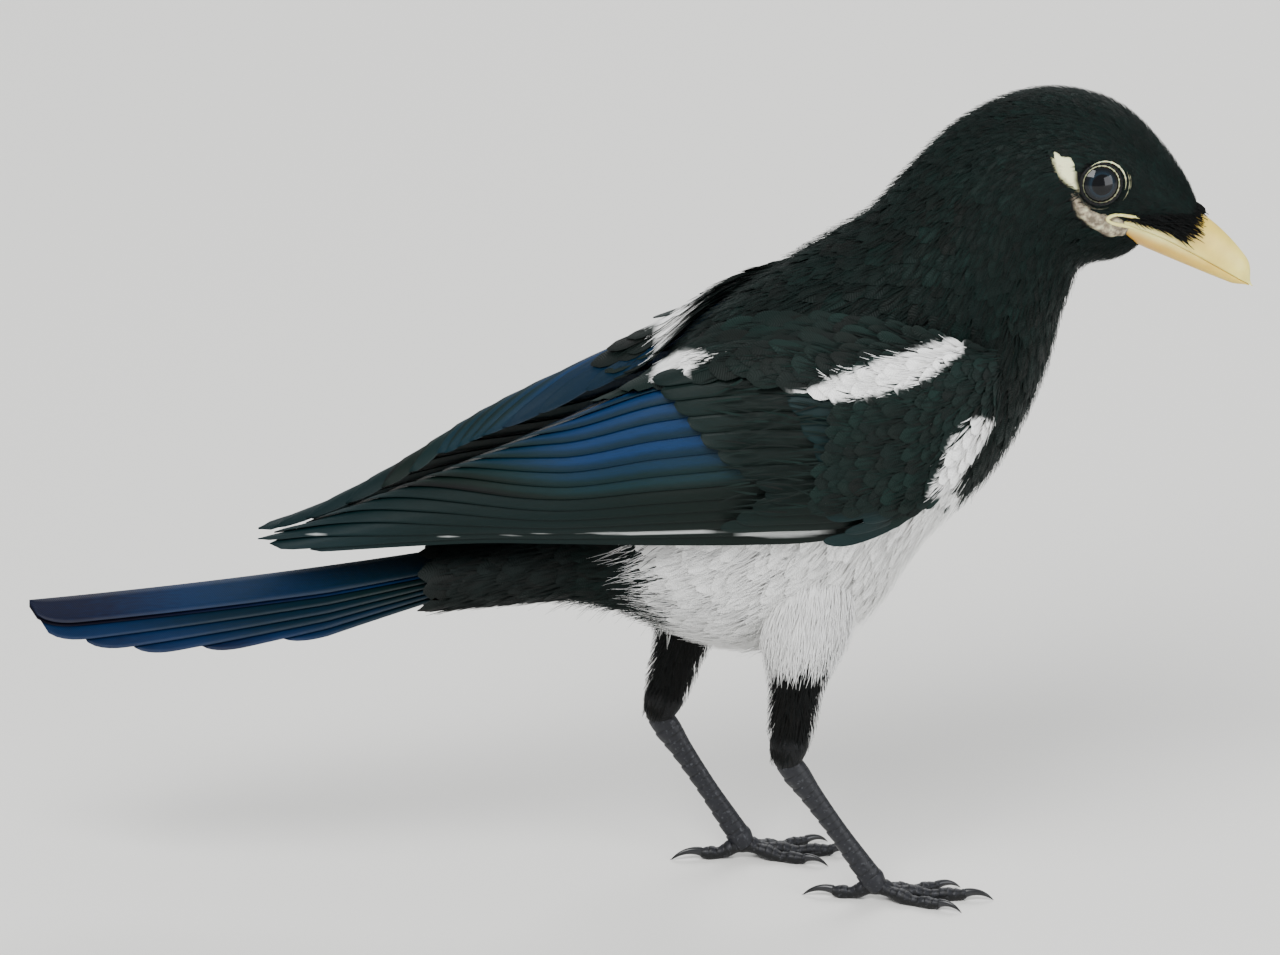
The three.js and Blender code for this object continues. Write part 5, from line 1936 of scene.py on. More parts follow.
@dataclass
class Wing:
    """One folded wing: flight feathers, coverts in tiers, small coverts and the white scapulars."""

    side: Side
    form: WingForm
    finishes: Finishes
    rng: np.random.Generator
    rows: int = 44
    columns: int = 11

    def tier_feather(self, tier: Tier, i: int) -> tuple[Array, dict[str, Array], Array, Array]:
        """One large feather's points, fields and places on itself.

        Args:
            tier: its tier.
            i: its number from the wing's low edge.

        Returns:
            Points of shape (1, rows, columns, 3), the fields, the vane map and the shading's lean.
        """
        tip = tier.tips[i]
        root = tier.root + (LOW_ROOTS if tier.fans and i < LOW_COUNT else 0)
        t = np.linspace(0, 1, self.rows) ** 0.85
        x = root + (tip - root) * t
        a = place_of(WING_X, x)
        fan = curve(WING_FAN, a) if tier.fans else np.ones_like(x)
        spacing = (tier.end - tier.start) / len(tier.tips)
        width = self.form.width_at(x)
        lap = spacing * width * fan
        near = np.clip((x - tip) / tier.blunt, 0, 1)
        half = 0.5 * tier.laps * lap * blade_outline(t, near, 0.6, 0.15)
        c, below = round_trip(self.columns)
        middle = (tier.start + (i + 0.5) * spacing) * fan
        across = half[:, None] * c[None]
        q = middle[:, None] + across / width[:, None]
        q = np.minimum(q, INNER_FROM + INNER_CROWD * (q - INNER_FROM))
        tilt = (VANE_STEP / lap)[:, None]
        shaft = 0.14 * np.exp(-((c[None] + 0.35) / 0.12) ** 2)
        arch = 0.14 * np.sqrt(1 - 0.96 * c[None] ** 2)
        full_x = np.broadcast_to(x[:, None], q.shape)
        sunk = smooth(2, 17, full_x) * smooth(0.74, 0.93, q)
        relief = (arch + shaft) * (1 - below) - SHEET_THICK * below
        height = tier.height * self.edge(q) - tilt * across + relief - sunk * (tier.height + 0.5)
        points = self.own_side(self.form.point(full_x, q, height))[None]
        seen = np.maximum(q, NORMAL_FROM)
        soft = unit(self.form.point(full_x, seen, height + 1) - self.form.point(full_x, seen, height))
        soft = soft[None] * (0.7 - 1.4 * below)[..., None]
        vane = np.stack(np.broadcast_arrays((0.5 + 0.5 * c)[None], (root - x)[:, None] * 0.1), -1)
        fields = self.dye(tier, i, full_x, q, c[None] + 0 * q, t[:, None] + 0 * q)
        return points, fields, vane[None], soft

    def own_side(self, points: Array) -> Array:
        """Keeps places from crossing the bird's middle plane, where the two wings meet."""
        out = points[..., 1] * self.side.value - MEETING_GAP
        reach = MEETING_GAP + 0.5 * (out + np.hypot(out, MEETING_SOFT))
        return np.stack([points[..., 0], reach * self.side.value, points[..., 2]], -1)

    @staticmethod
    def edge(q: Array) -> Array:
        """How much of its full height a layer keeps, as it closes down on the wing's low edge."""
        return 0.36 + 0.64 * smooth(-0.05, 0.2, q)

    def dye(self, tier: Tier, i: int, x: Array, q: Array, c: Array, t: Array) -> dict[str, Array]:
        """The colours of a large feather: its hue, its white and its brightness.

        Args:
            tier: the feather's tier.
            i: its number from the wing's low edge.
            x: places along X.
            q: shares across the wing.
            c: places across the feather.
            t: shares along the feather.

        Returns:
            The fields by name.
        """
        white = np.zeros(x.shape)
        tone = np.full(x.shape, 0.5)
        if tier.name == "flight":
            if i < INNER_PRIMARY:
                hue = 0.3 + 0.08 * smooth(30, -30, x) + 0.1 * smooth(-45, -80, x)
                tone = tone - 0.1
                over = q * self.form.width_at(x)
                white = sum(
                    smooth(1.1, 0.8, np.abs(over - middle) / np.maximum(half * arc(x, back, front), 0.01))
                    for middle, half, back, front in WING_SLIVERS
                )
            elif i < len(PRIMARY_TIPS) + len(SECONDARY_TIPS):
                inner = min((i - INNER_PRIMARY) / 2, 1)
                hue = 0.5 + 0.22 * inner - 0.2 * smooth(-10, -45, x) - 0.14 * smooth(-0.4, -0.8, c)
                tone = tone - 0.04 + 0.16 * smooth(-0.8, -0.3, c)
            else:
                hue = 0.72 - 0.12 * smooth(0.3, 1, t)
                tone = tone - 0.1
        elif tier.name == "greater":
            hue = 0.26 + 0.1 * t + 0 * c
        else:
            hue = 0.38 + 0.06 * t + 0 * c
            tone = tone + 0.1
        return {"white": white, "tone": tone, "hue": np.clip(hue, 0, 1), "along": t}

    def large(self) -> Shape:
        """All feathers of the tiers, each with a strip of the unwrap to itself.

        Returns:
            The feathers as one shape.
        """
        made = [self.tier_feather(tier, i) for tier in TIERS for i in range(len(tier.tips))]
        points = np.concatenate([m[0] for m in made])
        fields = {k: np.stack([m[1][k] for m in made]) for k in made[0][1]}
        vane = np.concatenate([m[2] for m in made])
        strips = (np.arange(len(made)) + 0.5)[:, None, None] / len(made)
        soft = np.concatenate([m[3] for m in made])
        across = np.broadcast_to((vane[..., 0] - 0.5) * 0.9 / len(made), points.shape[:-1])
        bake = np.stack([strips + across, np.broadcast_to(0.02 + 0.96 * fields["along"], across.shape)], -1)
        return ringed(points, fields, {BAKE_MAP: bake, VANE_MAP: vane}, soft=soft)

    def cover(self, x: Array, q: Array) -> Array:
        """Height of the wing's top layer over the sheet."""
        full = np.interp(x, COVER_X, COVER_HEIGHT)
        inner = np.interp(q, (0, 0.78, 0.92, 1.0), (1, 1, 0.4, 0.08))
        return full * inner * self.edge(q)

    def small(self) -> Shape:
        """Small coverts over arm and hand, and the scapulars that close over the wing's inner edge.

        Returns:
            The feathers as one shape.
        """

        def spacing(x: Array, q: Array, points: Array) -> Array:
            """Distance wanted between roots."""
            bare_alula = (q < 0.24) & (x < 64)
            front = (x > 52 + 12 * (q - 0.5)) & (q > np.interp(x, (70, 78), (0.06, 0.0))) & ~bare_alula
            scapular = q > np.interp(x, *SCAPULARS_FROM)
            banded = (x > 34) & scapular
            near = np.where(x > 73, 1.7, 2.4)
            return np.where(front | banded, near, np.where(scapular & (x > 2), 3.2, 0))

        x, q, points = scatter(self.form, *COVERT_SPAN, spacing, self.rng)
        count = len(x)
        length = np.interp(x, *COVERT_LENGTH) * self.rng.uniform(0.85, 1.15, count)
        rise = self.cover(x, q)
        later = self.cover(x - length, q)
        growth = Growth(
            u=x,
            v=q,
            length=length,
            width=np.interp(x, *COVERT_WIDTH),
            turn=self.rng.normal(0, 0.08, count),
            root=rise - 0.3,
            tip=later + 0.7,
            flare=self.rng.uniform(0, 0.3, count),
            tone=self.rng.uniform(0.2, 1, count),
            hue=self.rng.uniform(0.3, 1, count),
        )
        vanes = feathers(self.form, growth, 7, 5, 0.2, vane_outline)
        vanes.points = self.own_side(vanes.points)
        vanes.fields["white"] = smooth(-0.5, 0.4, self.inside_marks(vanes.points))

        def fine(x: Array, q: Array, points: Array) -> Array:
            """Distance wanted between the loose locks over them: closest in the white."""
            white = self.inside_marks(self.form.point(x, q, self.cover(x, q) + 0.6)) > -1.5
            over_tiers = (x > 26) & (q > 0.24) & (q < 0.8)
            gap = np.minimum(spacing(x, q, points) * 0.4, np.where(white, 0.55, 0.8))
            return np.where((gap == 0) & over_tiers, 2.1, gap)

        x, q, points = scatter(self.form, *COVERT_SPAN, fine, self.rng)
        count = len(x)
        length = np.interp(x, *COVERT_LOCK_LENGTH) * self.rng.uniform(0.8, 1.3, count)
        white = self.white_marks(x - 0.5 * length, q, self.cover(x, q) + 0.6)
        growth = Growth(
            u=x,
            v=q,
            length=length,
            width=0.6 - 0.15 * white,
            turn=self.rng.normal(0, 0.12, count),
            root=self.cover(x, q) + 0.1,
            tip=self.cover(x - length, q) + 0.7,
            flare=self.rng.uniform(0, 0.3, count),
            white=white,
            tone=self.rng.uniform(0.2, 1, count),
            hue=self.rng.uniform(0.3, 1, count),
        )
        locks = feathers(self.form, growth, 4, 3, 0.12, lock_outline, self.rng.normal(0, 0.06, count))
        locks.points = self.own_side(locks.points)
        return joined([vanes, locks])

    @staticmethod
    def inside_marks(points: Array) -> Array:
        """How far places lie inside the wing's white marks, in millimetres, negative outside."""
        level = points[..., 2] - BAND_SLOPE * np.abs(points[..., 1])
        marks = (SCAPULAR_BAND, SCAPULAR_TIP, BEND_TUFT)
        return np.max([inside_outline(points[..., 0], level, mark) for mark in marks], axis=0)

    def white_marks(self, x: Array, q: Array, height: Array) -> Array:
        """Which small feathers are white: the scapular band and its hind tip, and a tuft at the bend.

        Args:
            x: places of the feathers' middles along X.
            q: their shares across the wing.
            height: their heights over its sheet.

        Returns:
            1 for white feathers and 0 for the others.
        """
        inside = self.inside_marks(self.form.point(x, q, height))
        return (inside + self.rng.normal(0, 0.5, len(x)) > 0).astype(float)

    def build(self) -> None:
        """Makes the wing's pieces."""
        word = self.side.word
        nodes = (f"wing_{word}",)
        piece(f"flight_feathers_{word}", self.large(), self.finishes.vane, nodes)
        piece(f"coverts_{word}", self.small(), self.finishes.contour)


# Tail


@dataclass
class Tail:
    """Twelve tail feathers, closed and roofed, and the coverts round their roots."""

    finishes: Finishes
    rng: np.random.Generator
    rows: int = 60
    columns: int = 11
    tucked: float = 4.0
    tip_round: float = 13.0
    hue: float = 0.2
    covert_length: tuple[float, float] = (13, 17)
    lock_length: tuple[float, float] = (8, 11)

    def vane(self, side: Side, pair: int, level: int) -> tuple[Array, dict[str, Array], Array, Array]:
        """One tail feather.

        Args:
            side: the side that it lies on.
            pair: its pair, counted from the middle.
            level: how many feathers lie over it.

        Returns:
            Its points, fields, vane map and the shading's lean.
        """
        tip = TAIL.tip_x + TAIL.shorter[pair]
        t = np.linspace(0, 1, self.rows)
        x = TAIL.root_x - self.tucked + (tip - TAIL.root_x + self.tucked) * t
        near = np.clip((x - tip) / self.tip_round, 0, 1)
        half = 0.5 * TAIL.width[pair] * blade_outline(t, near, 0.45, 0.12)
        c = np.linspace(-1, 1, self.columns)
        middle = np.tan(math.radians(TAIL.fan_degrees * pair)) * (TAIL.root_x - x) + TAIL.spread * pair
        if pair == 0:
            y = half[:, None] * c[None]
        else:
            inner = np.maximum(middle - half, 0.3)
            y = inner[:, None] + (middle + half - inner)[:, None] * (0.5 + 0.5 * c[None])
        full_x = np.broadcast_to(x[:, None], y.shape)
        shaft_at = 0.0 if pair == 0 else 0.35
        shaft = 0.2 * np.exp(-((c[None] - shaft_at) / 0.09) ** 2)
        arch = 0.4 * np.sqrt(1 - 0.97 * c[None] ** 2)
        crease = 0.22 * np.exp(-((np.abs(y) / 1.6) ** 2)) if pair == 0 else 0
        z = TAIL.top(full_x) - level * TAIL.step - TAIL.drop(full_x, y) - 0.5 + arch + shaft - crease
        points = np.stack([full_x, side.value * y, z], -1)[None]
        tilt = np.where(pair > 0, side.value, np.sign(c[None])) * 0.45
        soft = unit(np.stack([0.1 + 0 * z, tilt + 0 * z, 1 + 0 * z], -1))[None] * 0.5
        vane = np.stack(np.broadcast_arrays((0.5 + 0.5 * c)[None], (TAIL.root_x - x)[:, None] * 0.1), -1)
        start = 0.6 if pair == 0 else 0.4
        blue = start + 0.12 * smooth(0.2, 0.5, t) + 0.2 * smooth(0.5, 0.95, t)
        hue = blue[:, None] + 0.08 * (c[None] > shaft_at) + self.rng.uniform(-0.05, 0.05)
        if pair > 2:
            hue = hue + 0.3 * smooth(0.3, 0.12, t)[:, None]
        fields = {
            "white": 0 * y,
            "tone": 0.27 + 0.14 * smooth(0.3, 0.12, t)[:, None] * (pair > 2) + 0 * y,
            "hue": np.clip(hue + 0 * y, 0, 1),
            "along": np.broadcast_to(t[:, None], y.shape),
        }
        return points, {k: v[None] for k, v in fields.items()}, vane[None], soft

    def coverts(self) -> Shape:
        """Coverts over and under the tail's root.

        Returns:
            The feathers as one shape.
        """
        sleeve = SleeveForm()

        def spacing(u: Array, v: Array, points: Array) -> Array:
            """Distance wanted between roots."""
            return np.where(u < -12, 3.4, 2.6)

        u, v, _ = scatter(sleeve, (-42, -math.pi), (-6, math.pi), spacing, self.rng)
        count = len(u)
        length = np.minimum(self.rng.uniform(*self.covert_length, count), u - TAIL_SLEEVE[-1, 0])
        growth = Growth(
            u=u,
            v=v,
            length=length,
            width=6.5,
            turn=self.rng.normal(0, 0.06, count),
            root=0.1,
            tip=1.6,
            flare=self.rng.uniform(0, 0.4, count),
            tone=self.rng.uniform(0, 1, count),
            hue=self.hue,
        )
        vanes = feathers(sleeve, growth, 8, 5, 0.3, vane_outline)
        u, v, _ = scatter(sleeve, (-44, -math.pi), (-6, math.pi), lambda a, b, p: 1.3 + 0 * a, self.rng)
        count = len(u)
        growth = Growth(
            u=u,
            v=v,
            length=np.minimum(self.rng.uniform(*self.lock_length, count), u - TAIL_SLEEVE[-1, 0] + 1),
            width=0.9,
            turn=self.rng.normal(0, 0.12, count),
            root=0.9,
            tip=1.9,
            flare=self.rng.uniform(0, 0.6, count),
            tone=self.rng.uniform(0, 1, count),
            hue=self.hue,
        )
        return joined([vanes, feathers(sleeve, growth, 5, 3, 0.2, lock_outline)])

    def build(self) -> None:
        """Makes the tail's pieces."""
        made = [self.vane(Side.LEFT, 0, 0), self.vane(Side.RIGHT, 0, 1)]
        for pair in range(1, len(TAIL.width)):
            made += [self.vane(Side.LEFT, pair, pair + 1), self.vane(Side.RIGHT, pair, pair + 1)]
        shapes = []
        for i, (points, fields, vane, soft) in enumerate(made):
            across = (i + 0.5 + (vane[..., 0] - 0.5) * 0.9) / len(made)
            bake = np.stack([across, 0.02 + 0.96 * fields["along"]], -1)
            shapes.append(ringed(points, fields, {BAKE_MAP: bake, VANE_MAP: vane}, soft=soft))
        piece("tail_feathers", joined(shapes), self.finishes.vane, ("tail",))
        piece("coat_tail_root", self.coverts(), self.finishes.contour)


# Head


@dataclass
class Bill:
    """Both mandibles, the soft flange of the gape, and the nasal bristles."""

    body: BodyForm
    finishes: Finishes
    rng: np.random.Generator
    rows: int = 70
    columns: int = 48
    flange_radius: float = 0.46
    bristle_count: int = 1500
    bristle_width: float = 0.28
    length: float = 45.0

    def mandible(self, upper: bool) -> Shape:
        """One mandible, from the gape to its tip.

        Args:
            upper: whether it is the upper mandible.

        Returns:
            The closed mandible.
        """
        u = np.linspace(0, 1 if upper else LOWER_REACH, self.rows)
        turn = np.linspace(0, math.pi, self.columns)
        uu, tt = np.meshgrid(u, turn, indexing="ij")
        points = bill_point(uu, tt, upper)
        x, z, rise = np.moveaxis(curve(BILL[:, :3], u * (len(BILL) - 1)), -1, 0)
        lean = np.radians(rise)
        sign = BILL_GAP if upper else -BILL_GAP
        floor = np.stack([x - np.sin(lean) * sign, 0 * x, z + np.cos(lean) * sign], -1)[:, None]
        ring = np.concatenate([points, floor], 1)
        edge = np.exp(-(np.sin(tt) / 0.28) ** 2) * smooth(0.75, 0.2, uu)
        along = np.concatenate([uu, u[:, None]], 1)
        across = np.concatenate([tt / math.pi, 0.5 + 0 * u[:, None]], 1)
        paler = np.concatenate([edge, 0 * u[:, None]], 1)
        return tube(ring, across, along, along=along * (1 if upper else 0.6), white=paler)

    def flange(self, side: Side) -> Shape:
        """The soft fold of a young bird's gape: a loop of pale skin behind the bill's corner.

        Args:
            side: which side.

        Returns:
            The closed fold.
        """
        t = np.linspace(0, len(GAPE_LOOP) - 1, 90)
        line = curve(GAPE_LOOP, t)
        reach = self.body.reach_at(line[:, 0], line[:, 1]) - 0.15
        path = np.stack([line[:, 0], side.value * reach, line[:, 1]], -1)
        ahead = unit(np.gradient(path, axis=0))
        out = unit(np.array([0.25, side.value, 0.1]) + 0 * path)
        over = unit(np.cross(ahead, out))
        turn = around(20)
        swell = self.flange_radius * (0.9 + 0.1 * np.sin(t * 3))[:, None]
        ring = path[:, None] + swell[..., None] * (np.cos(turn)[:, None] * over[:, None]
                                                   + 0.9 * np.sin(turn)[:, None] * out[:, None])
        share = np.broadcast_to(t[:, None] / t[-1], ring.shape[:2])
        return tube(ring, turn[None] / TAU, share, along=0.3 + 0 * share, white=0.9 + 0 * share)

    def bristles(self) -> Shape:
        """Black bristles that lie forward over the upper mandible's base and hide the nostrils.

        Returns:
            The bristles as one shape.
        """
        count = self.bristle_count
        along = self.rng.uniform(0.08, 0.4, count)
        turn = np.radians(self.rng.uniform(15, 165, count))
        reach = np.interp(np.sin(turn), (0.25, 0.42, 0.6, 1), (0.47, 0.54, 0.52, 0.46))
        length = self.rng.uniform(3.5, 6.5, count)
        t = np.linspace(0, 1, 6)[None, :, None]
        c = np.array([-1.0, 0.0, 1.0])[None, None]
        end = np.minimum(along + length / self.length, reach + self.rng.uniform(-0.02, 0.02, count))
        u = along[:, None, None] + (end - along)[:, None, None] * t
        half = self.bristle_width * (1 - 0.85 * t)
        swing = self.rng.normal(0, 0.12, count)[:, None, None] * t
        w = turn[:, None, None] + half * c / 8 + swing
        lift = 0.3 + self.rng.uniform(0.2, 1.3, count)[:, None, None] * np.sin(t * 2.2) + 0.2 * (1 - c * c)
        u, w, lift = np.broadcast_arrays(u, w, lift)
        points = bill_point(u, w, True, lift)
        tone = self.rng.uniform(0, 1, count)[:, None, None]
        fields = {"white": np.zeros(1), "tone": tone, "hue": np.zeros(1), "along": t}
        base = np.stack([0.3 + 0.4 * turn / math.pi, 0.95 + 0 * turn], -1)[:, None, None]
        patch = np.stack(np.broadcast_arrays(c * 0.5 * PATCH, (t - 0.5) * PATCH), -1)
        vane = np.stack(np.broadcast_arrays(0.5 + 0.5 * c, t * 0.5), -1)
        return ringed(points, fields, {BAKE_MAP: base + patch, VANE_MAP: vane})

    def build(self) -> None:
        """Makes the bill's pieces."""
        piece("bill_upper", self.mandible(True), self.finishes.bill, ("upper_mandible",))
        piece("bill_lower", self.mandible(False), self.finishes.bill, ("lower_mandible",))
        piece("nasal_bristles", self.bristles(), self.finishes.contour)
        folds = joined([self.flange(side) for side in Side])
        piece("gape_flanges", folds, self.finishes.bill)


@dataclass(frozen=True)
class Lid:
    """A fold of skin round the eye, of millimetres and turns from the front upwards."""

    radius: float
    thick: float
    height: float
    bare: float
    start: float = 0.0
    end: float = TAU
    off: float = 0.0
    off_angle: float = 0.0


LIDS = (
    Lid(4.62, 0.15, 0.15, 0.5),
    Lid(5.15, 0.4, -0.1, 0.0),
    Lid(5.6, 0.2, 0.3, 0.9, -0.1, 2.3, 0.7, 0.3),
    Lid(6.1, 0.16, 0.2, 0.3, 3.6, 5.2, 0.2, 4.4),
    Lid(6.7, 0.1, 0.15, 0.4, -0.5, 0.6, 0.5, 0.2),
    Lid(7.2, 0.08, 0.1, 0.25, -0.1, 0.5, 0.4, 0.2),
)


@dataclass
class Eye:
    """One eye with its lids."""

    side: Side
    body: BodyForm
    finishes: Finishes

    def ball(self) -> Shape:
        """The eye's dome, from its back to the front.

        Returns:
            The closed dome.
        """
        middle, out, forward, up = eye_axes(self.side, self.body)
        rings = 40
        r = EYE.opening * 1.02 * np.sin(np.linspace(0.02, 1, rings) * math.pi / 2)
        dome = np.sqrt(EYE.radius ** 2 - r ** 2) - math.sqrt(EYE.radius ** 2 - EYE.opening ** 2)
        r = np.concatenate([r, [EYE.opening * 1.02, EYE.opening * 0.8]])
        dome = np.concatenate([dome, [-1.5, -2.2]])
        turn = around(64)
        spin = np.cos(turn)[:, None] * forward + np.sin(turn)[:, None] * up
        points = middle + r[:, None, None] * spin[None] + dome[:, None, None] * out
        share = np.broadcast_to((r / EYE.opening)[:, None], points.shape[:2])
        flat = 0.5 + 0.45 * share[..., None] * np.stack([np.cos(turn), np.sin(turn)], -1)[None]
        return ringed(points[None], {"along": share[None]}, {BAKE_MAP: flat[None]})

    def lids(self) -> Shape:
        """Rims of bare skin round the eye, whole ones and part folds outside them.

        Returns:
            The rims as one shape.
        """
        middle, out, forward, up = eye_axes(self.side, self.body)
        section = around(18)
        shapes = []
        for lid in LIDS:
            whole = lid.end - lid.start >= TAU
            angle = np.linspace(lid.start, lid.end, 140)
            spread = np.cos(angle)[:, None] * forward + np.sin(angle)[:, None] * up
            taper = 1.0 if whole else np.sin(np.linspace(0.06, math.pi - 0.06, len(angle)))[:, None]
            wave = 0.05 * np.sin(angle * 21)[:, None] + 0.03 * np.sin(angle * 34 + 1)[:, None]
            far = lid.radius + lid.off * np.cos(angle - lid.off_angle)[:, None]
            r = far + (lid.thick + wave) * np.cos(section)[None] * taper
            h = lid.height + (lid.thick + wave) * np.sin(section)[None] * taper
            points = middle + r[..., None] * spread[:, None] + h[..., None] * out
            fade = 0.55 + 0.45 * np.cos(angle - 1.1)[:, None] + 0 * r
            fields = {"bare": lid.bare * fade[None], "white": 0 * r[None], "hue": -0.1 + 0 * r[None]}
            flat = 0.5 + 0.05 * r[..., None] * np.stack([np.cos(angle), np.sin(angle)], -1)[:, None]
            shapes.append(ringed(points[None], fields, {BAKE_MAP: flat[None]}))
        return joined(shapes)

    def build(self) -> None:
        """Makes the eye's pieces."""
        word = self.side.word
        piece(f"eyeball_{word}", self.ball(), self.finishes.eye, (f"eye_{word}",))
        piece(f"eyelids_{word}", self.lids(), self.finishes.skin)


# Feet


@dataclass(frozen=True)
class Toe:
    """A toe's turn from straight ahead in degrees, and its length, its claw's length and its thickness."""

    name: str
    yaw: float
    length: float
    claw: float
    thick: float


TOES = (
    Toe("inner", 24, 16, 6.5, 1.75),
    Toe("middle", 2, 22, 7.5, 1.9),
    Toe("outer", -22, 17, 6.5, 1.75),
    Toe("hind", 176, 11.5, 8.5, 1.9),
)
TOE_SINK = 0.4
BALL_HEIGHT = 3.4
BALL_REACH = 4.5
FOOT_DROP = 3.6


@dataclass
class Foot:
    """One bare leg below the heel: tarsus, toes and claws, with their scutes."""

    side: Side
    finishes: Finishes
    scute_length: float = 3.6
    toe_scute_length: float = 1.9
    claw_steps: int = 40
    claw_root: int = 7
    claw_pitch: float = 14.0
    claw_bend: float = 62.0

    @property
    def ankle(self) -> Array:
        """The joint at the tarsus's top."""
        return leg_point(self.side, LEGS[self.side].ankle)

    @property
    def toes(self) -> Array:
        """The joint at the tarsus's foot."""
        return leg_point(self.side, LEGS[self.side].toes)

    @property
    def under(self) -> Array:
        """Where the toes part, on the foot's ball."""
        return self.toes - unit(self.ankle - self.toes) * FOOT_DROP

    def axes(self, toe: Toe) -> tuple[Array, Array, Array]:
        """A toe's start on the ground, and directions along it and across it.

        Args:
            toe: the toe.

        Returns:
            The start, and the two directions.
        """
        yaw = math.radians(-self.side.value * toe.yaw + LEGS[self.side].turn)
        ahead = np.array([math.cos(yaw), math.sin(yaw), 0])
        sideways = np.array([-math.sin(yaw), math.cos(yaw), 0])
        return self.under * np.array([1, 1, 0]), ahead, sideways

    def tarsus(self) -> Shape:
        """The tarsus, with a row of overlapping scutes down its front.

        Returns:
            The closed tarsus.
        """
        form = LimbForm(self.ankle, self.toes, TARSUS)
        uu, vv = np.meshgrid(np.linspace(-0.09, 1.03, 270), around(56), indexing="ij")
        scute = (uu * form.length / self.scute_length) % 1
        front = smooth(-0.2, 0.5, np.cos(vv))
        raised = 0.42 * (1 - scute) ** 0.5 * (1 - np.exp(-((scute / 0.07) ** 2))) * front
        back = (uu * form.length / (self.scute_length * 0.55)) % 1
        raised = raised + 0.1 * (1 - np.exp(-((back / 0.12) ** 2))) * (1 - front)
        points = form.rounded(form.point(uu, vv, raised - 0.2), uu, np.clip(-uu / 0.09, 0, ROUND_END))
        return tube(points, vv / TAU, uu / 1.1, along=np.clip(raised / 0.3, 0, 1))

    def line(self, toe: Toe, t: Array) -> tuple[Array, Array, Array]:
        """Reach, height and radius along a toe.

        Args:
            toe: the toe.
            t: shares along it.

        Returns:
            The three, each of t's shape.
        """
        pads = 1 + 0.12 * np.cos(TAU * 2.5 * t) * smooth(0, 0.15, t)
        radius = toe.thick * (1.15 + (0.78 - 1.15) * t) * pads
        ball = np.exp(-((t * toe.length / BALL_REACH) ** 2))
        height = (radius - TOE_SINK) * (1 - ball) + BALL_HEIGHT * ball + 5 * np.maximum(t - 0.85, 0)
        return t * toe.length, height, radius

    def toe(self, toe: Toe) -> Shape:
        """One toe, flat where it rests, with scutes along its top.

        Args:
            toe: the toe.

        Returns:
            The closed toe.
        """
        t = np.linspace(0, 1, 130)
        reach, height, radius = self.line(toe, t)
        tt, ww = np.meshgrid(t, around(40), indexing="ij")
        scute = (tt * toe.length / self.toe_scute_length) % 1
        raised = 0.2 * (1 - scute) * (1 - np.exp(-((scute / 0.1) ** 2))) * smooth(0, 0.7, np.cos(ww))
        r = radius[:, None] + raised - 0.08
        base, ahead, sideways = self.axes(toe)
        points = base + reach[:, None, None] * ahead + (r * np.sin(ww))[..., None] * sideways
        points[..., 2] = np.maximum(height[:, None] + r * np.cos(ww), 0.0)
        return tube(points, ww / TAU, tt, along=np.clip(raised / 0.2, 0, 1))

    def ball(self) -> Shape:
        """The stub between tarsus and toes.

        Returns:
            The closed stub.
        """
        top = self.toes + unit(self.ankle - self.toes) * 0.2
        form = LimbForm(top, self.under, FOOT_BALL)
        uu, vv = np.meshgrid(np.linspace(0, 1, 20), around(40), indexing="ij")
        points = form.point(uu, vv, 0 * uu)
        points[..., 2] = np.maximum(points[..., 2], 0)
        return tube(points, vv / TAU, uu, along=0.6 + 0 * uu)

    def claw(self, toe: Toe) -> Shape:
        """A claw that bends down to its point, just off the ground.

        Args:
            toe: the toe.

        Returns:
            The closed claw.
        """
        reach, height, radius = (float(v[-1]) for v in self.line(toe, np.array([0.0, 1.0])))
        step = toe.claw / self.claw_steps
        base, ahead, sideways = self.axes(toe)
        turn = around(24)
        rings = []
        reach += 0.15 - self.claw_root * step
        for k in range(-self.claw_root, self.claw_steps + 1):
            t = max(k, 0) / self.claw_steps
            size = max(radius * 0.9 * (1 - t) ** 0.8, 0.06)
            pitch = math.radians(self.claw_pitch - self.claw_bend * t)
            middle = base + ahead * reach + np.array([0, 0, max(height, size + 0.15) - 0.1 * max(-k, 0)])
            normal = -ahead * math.sin(pitch) + np.array([0, 0, math.cos(pitch)])
            ring = middle + size * (np.cos(turn)[:, None] * normal + 0.8 * np.sin(turn)[:, None] * sideways)
            ring[:, 2] = np.maximum(ring[:, 2], 0.02)
            rings.append(ring)
            reach += step * math.cos(pitch)
            height += step * math.sin(pitch)
        share = np.broadcast_to(np.linspace(0, 1, len(rings))[:, None], (len(rings), len(turn)))
        return tube(np.stack(rings), turn[None] / TAU, share, along=share)

    def build(self) -> None:
        """Makes the foot's pieces."""
        word = self.side.word
        piece(f"scutes_tarsus_{word}", self.tarsus(), self.finishes.leg, (f"tarsus_{word}",))
        foot = joined([self.ball()] + [self.toe(toe) for toe in TOES])
        piece(f"toes_{word}", foot, self.finishes.leg, (f"foot_{word}",))
        for toe in TOES:
            nodes = (f"claw_{word}_{toe.name}",)
            piece(f"horn_{word}_{toe.name}", self.claw(toe), self.finishes.claw, nodes)


# Studio


@dataclass(frozen=True)
class Lamp:
    """A square soft light aimed at the bird: its place and edge in metres, and its power in watts."""

    name: str
    place: tuple[float, float, float]
    size: float
    power: float
    colour: str

    def build(self) -> None:
        """Hangs the light."""
        data = bpy.data.lights.new(self.name, "AREA")
        data.size = self.size
        data.energy = self.power
        data.color = linear(self.colour)[:3]
        made = bpy.data.objects.new(self.name, data)
        made.location = self.place
        aim = Vector(LIT_POINT) - Vector(self.place)
        made.rotation_euler = aim.to_track_quat("-Z", "Y").to_euler()
        bpy.context.scene.collection.objects.link(made)


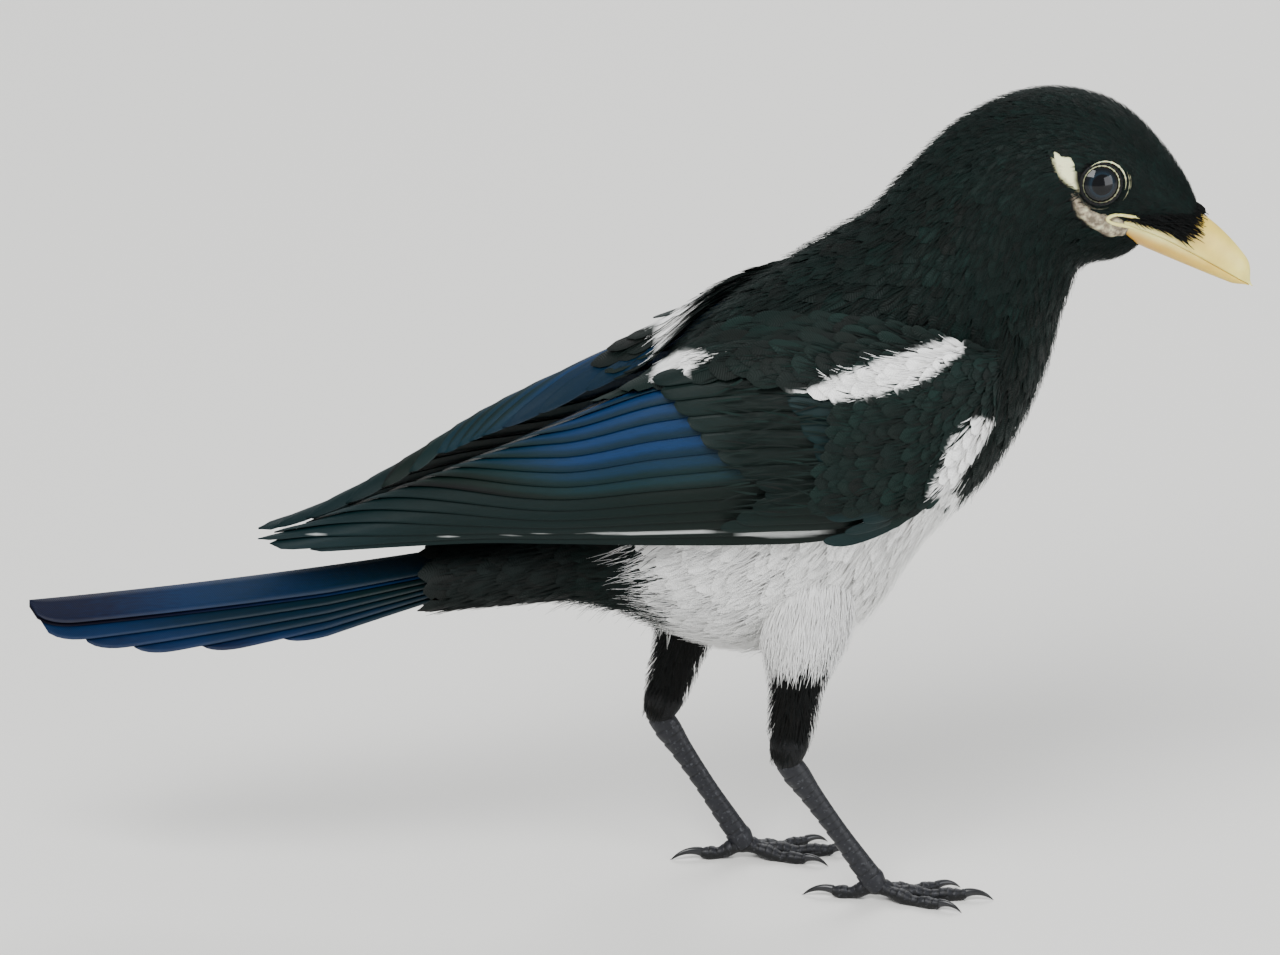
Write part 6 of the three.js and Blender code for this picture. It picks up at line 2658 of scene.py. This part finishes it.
LIT_POINT = (0.02, 0, 0.11)
LAMPS = (
    Lamp("key", (-0.5, -1.2, 1.5), 1.0, 42, "#FFFFFF"),
    Lamp("fill", (1.5, -1.0, 0.4), 1.1, 22, "#F8FAFF"),
    Lamp("back", (0.3, 1.3, 1.2), 1.0, 16, "#FFFFFF"),
)


@dataclass
class Studio:
    """Floor, soft lights and the camera at the photo's angle."""

    finishes: Finishes
    elevation: float = 20.0
    distance: float = 5.0
    frame_width_mm: float = 320.0
    sensor_mm: float = 36.0
    pivot_mm: tuple[float, float, float] = (-0.25, 0.0, 80.0)
    rise_mm: float = 25.4
    floor_size: float = 14.0
    wall_colour: str = "#F2F4F6"
    wall_light: float = 0.7

    def floor(self) -> None:
        """A large level floor."""
        half = self.floor_size / 2
        mesh = bpy.data.meshes.new("floor")
        corners = [(-half, -half, 0), (half, -half, 0), (half, half, 0), (-half, half, 0)]
        mesh.from_pydata(corners, [], [(0, 1, 2, 3)])
        made = bpy.data.objects.new("floor", mesh)
        bpy.context.scene.collection.objects.link(made)
        made.data.materials.append(self.finishes.floor)

    def camera(self) -> None:
        """A long lens far off, so that the bird is seen nearly without perspective."""
        tilt = math.radians(self.elevation)
        ahead = Vector((0, math.cos(tilt), -math.sin(tilt)))
        up = Vector((0, math.sin(tilt), math.cos(tilt)))
        aim = Vector(self.pivot_mm) * METRES + up * self.rise_mm * METRES
        data = bpy.data.cameras.new("camera")
        data.sensor_width = self.sensor_mm
        data.lens = self.sensor_mm * self.distance / (self.frame_width_mm * METRES)
        made = bpy.data.objects.new("camera", data)
        right = ahead.cross(up)
        turn = Matrix((right, up, -ahead)).transposed()
        made.matrix_world = Matrix.Translation(aim - ahead * self.distance) @ turn.to_4x4()
        bpy.context.scene.collection.objects.link(made)
        bpy.context.scene.camera = made

    def build(self) -> None:
        """Sets the studio up."""
        self.floor()
        for lamp in LAMPS:
            lamp.build()
        world = bpy.data.worlds.new("studio")
        world.use_nodes = True
        walls = world.node_tree.nodes["Background"].inputs
        walls["Color"].default_value = linear(self.wall_colour)
        walls["Strength"].default_value = self.wall_light
        bpy.context.scene.world = world
        self.camera()


def main() -> None:
    """Builds the bird and its studio, and notes its size."""
    logging.basicConfig(level=logging.INFO, format="%(name)s %(message)s")
    rng = np.random.default_rng(SEED)
    finishes = Finishes()
    Studio(finishes).build()
    body = BodyForm()
    Skin(body, finishes).build()
    BodyCoat(body, finishes, rng).build()
    ShinCoat(body, finishes, rng).build()
    for side in Side:
        Wing(side, WingForm(side, body), finishes, rng).build()
        Eye(side, body, finishes).build()
        Foot(side, finishes).build()
    Tail(finishes, rng).build()
    Bill(body, finishes, rng).build()


if __name__ == "__main__":
    main()
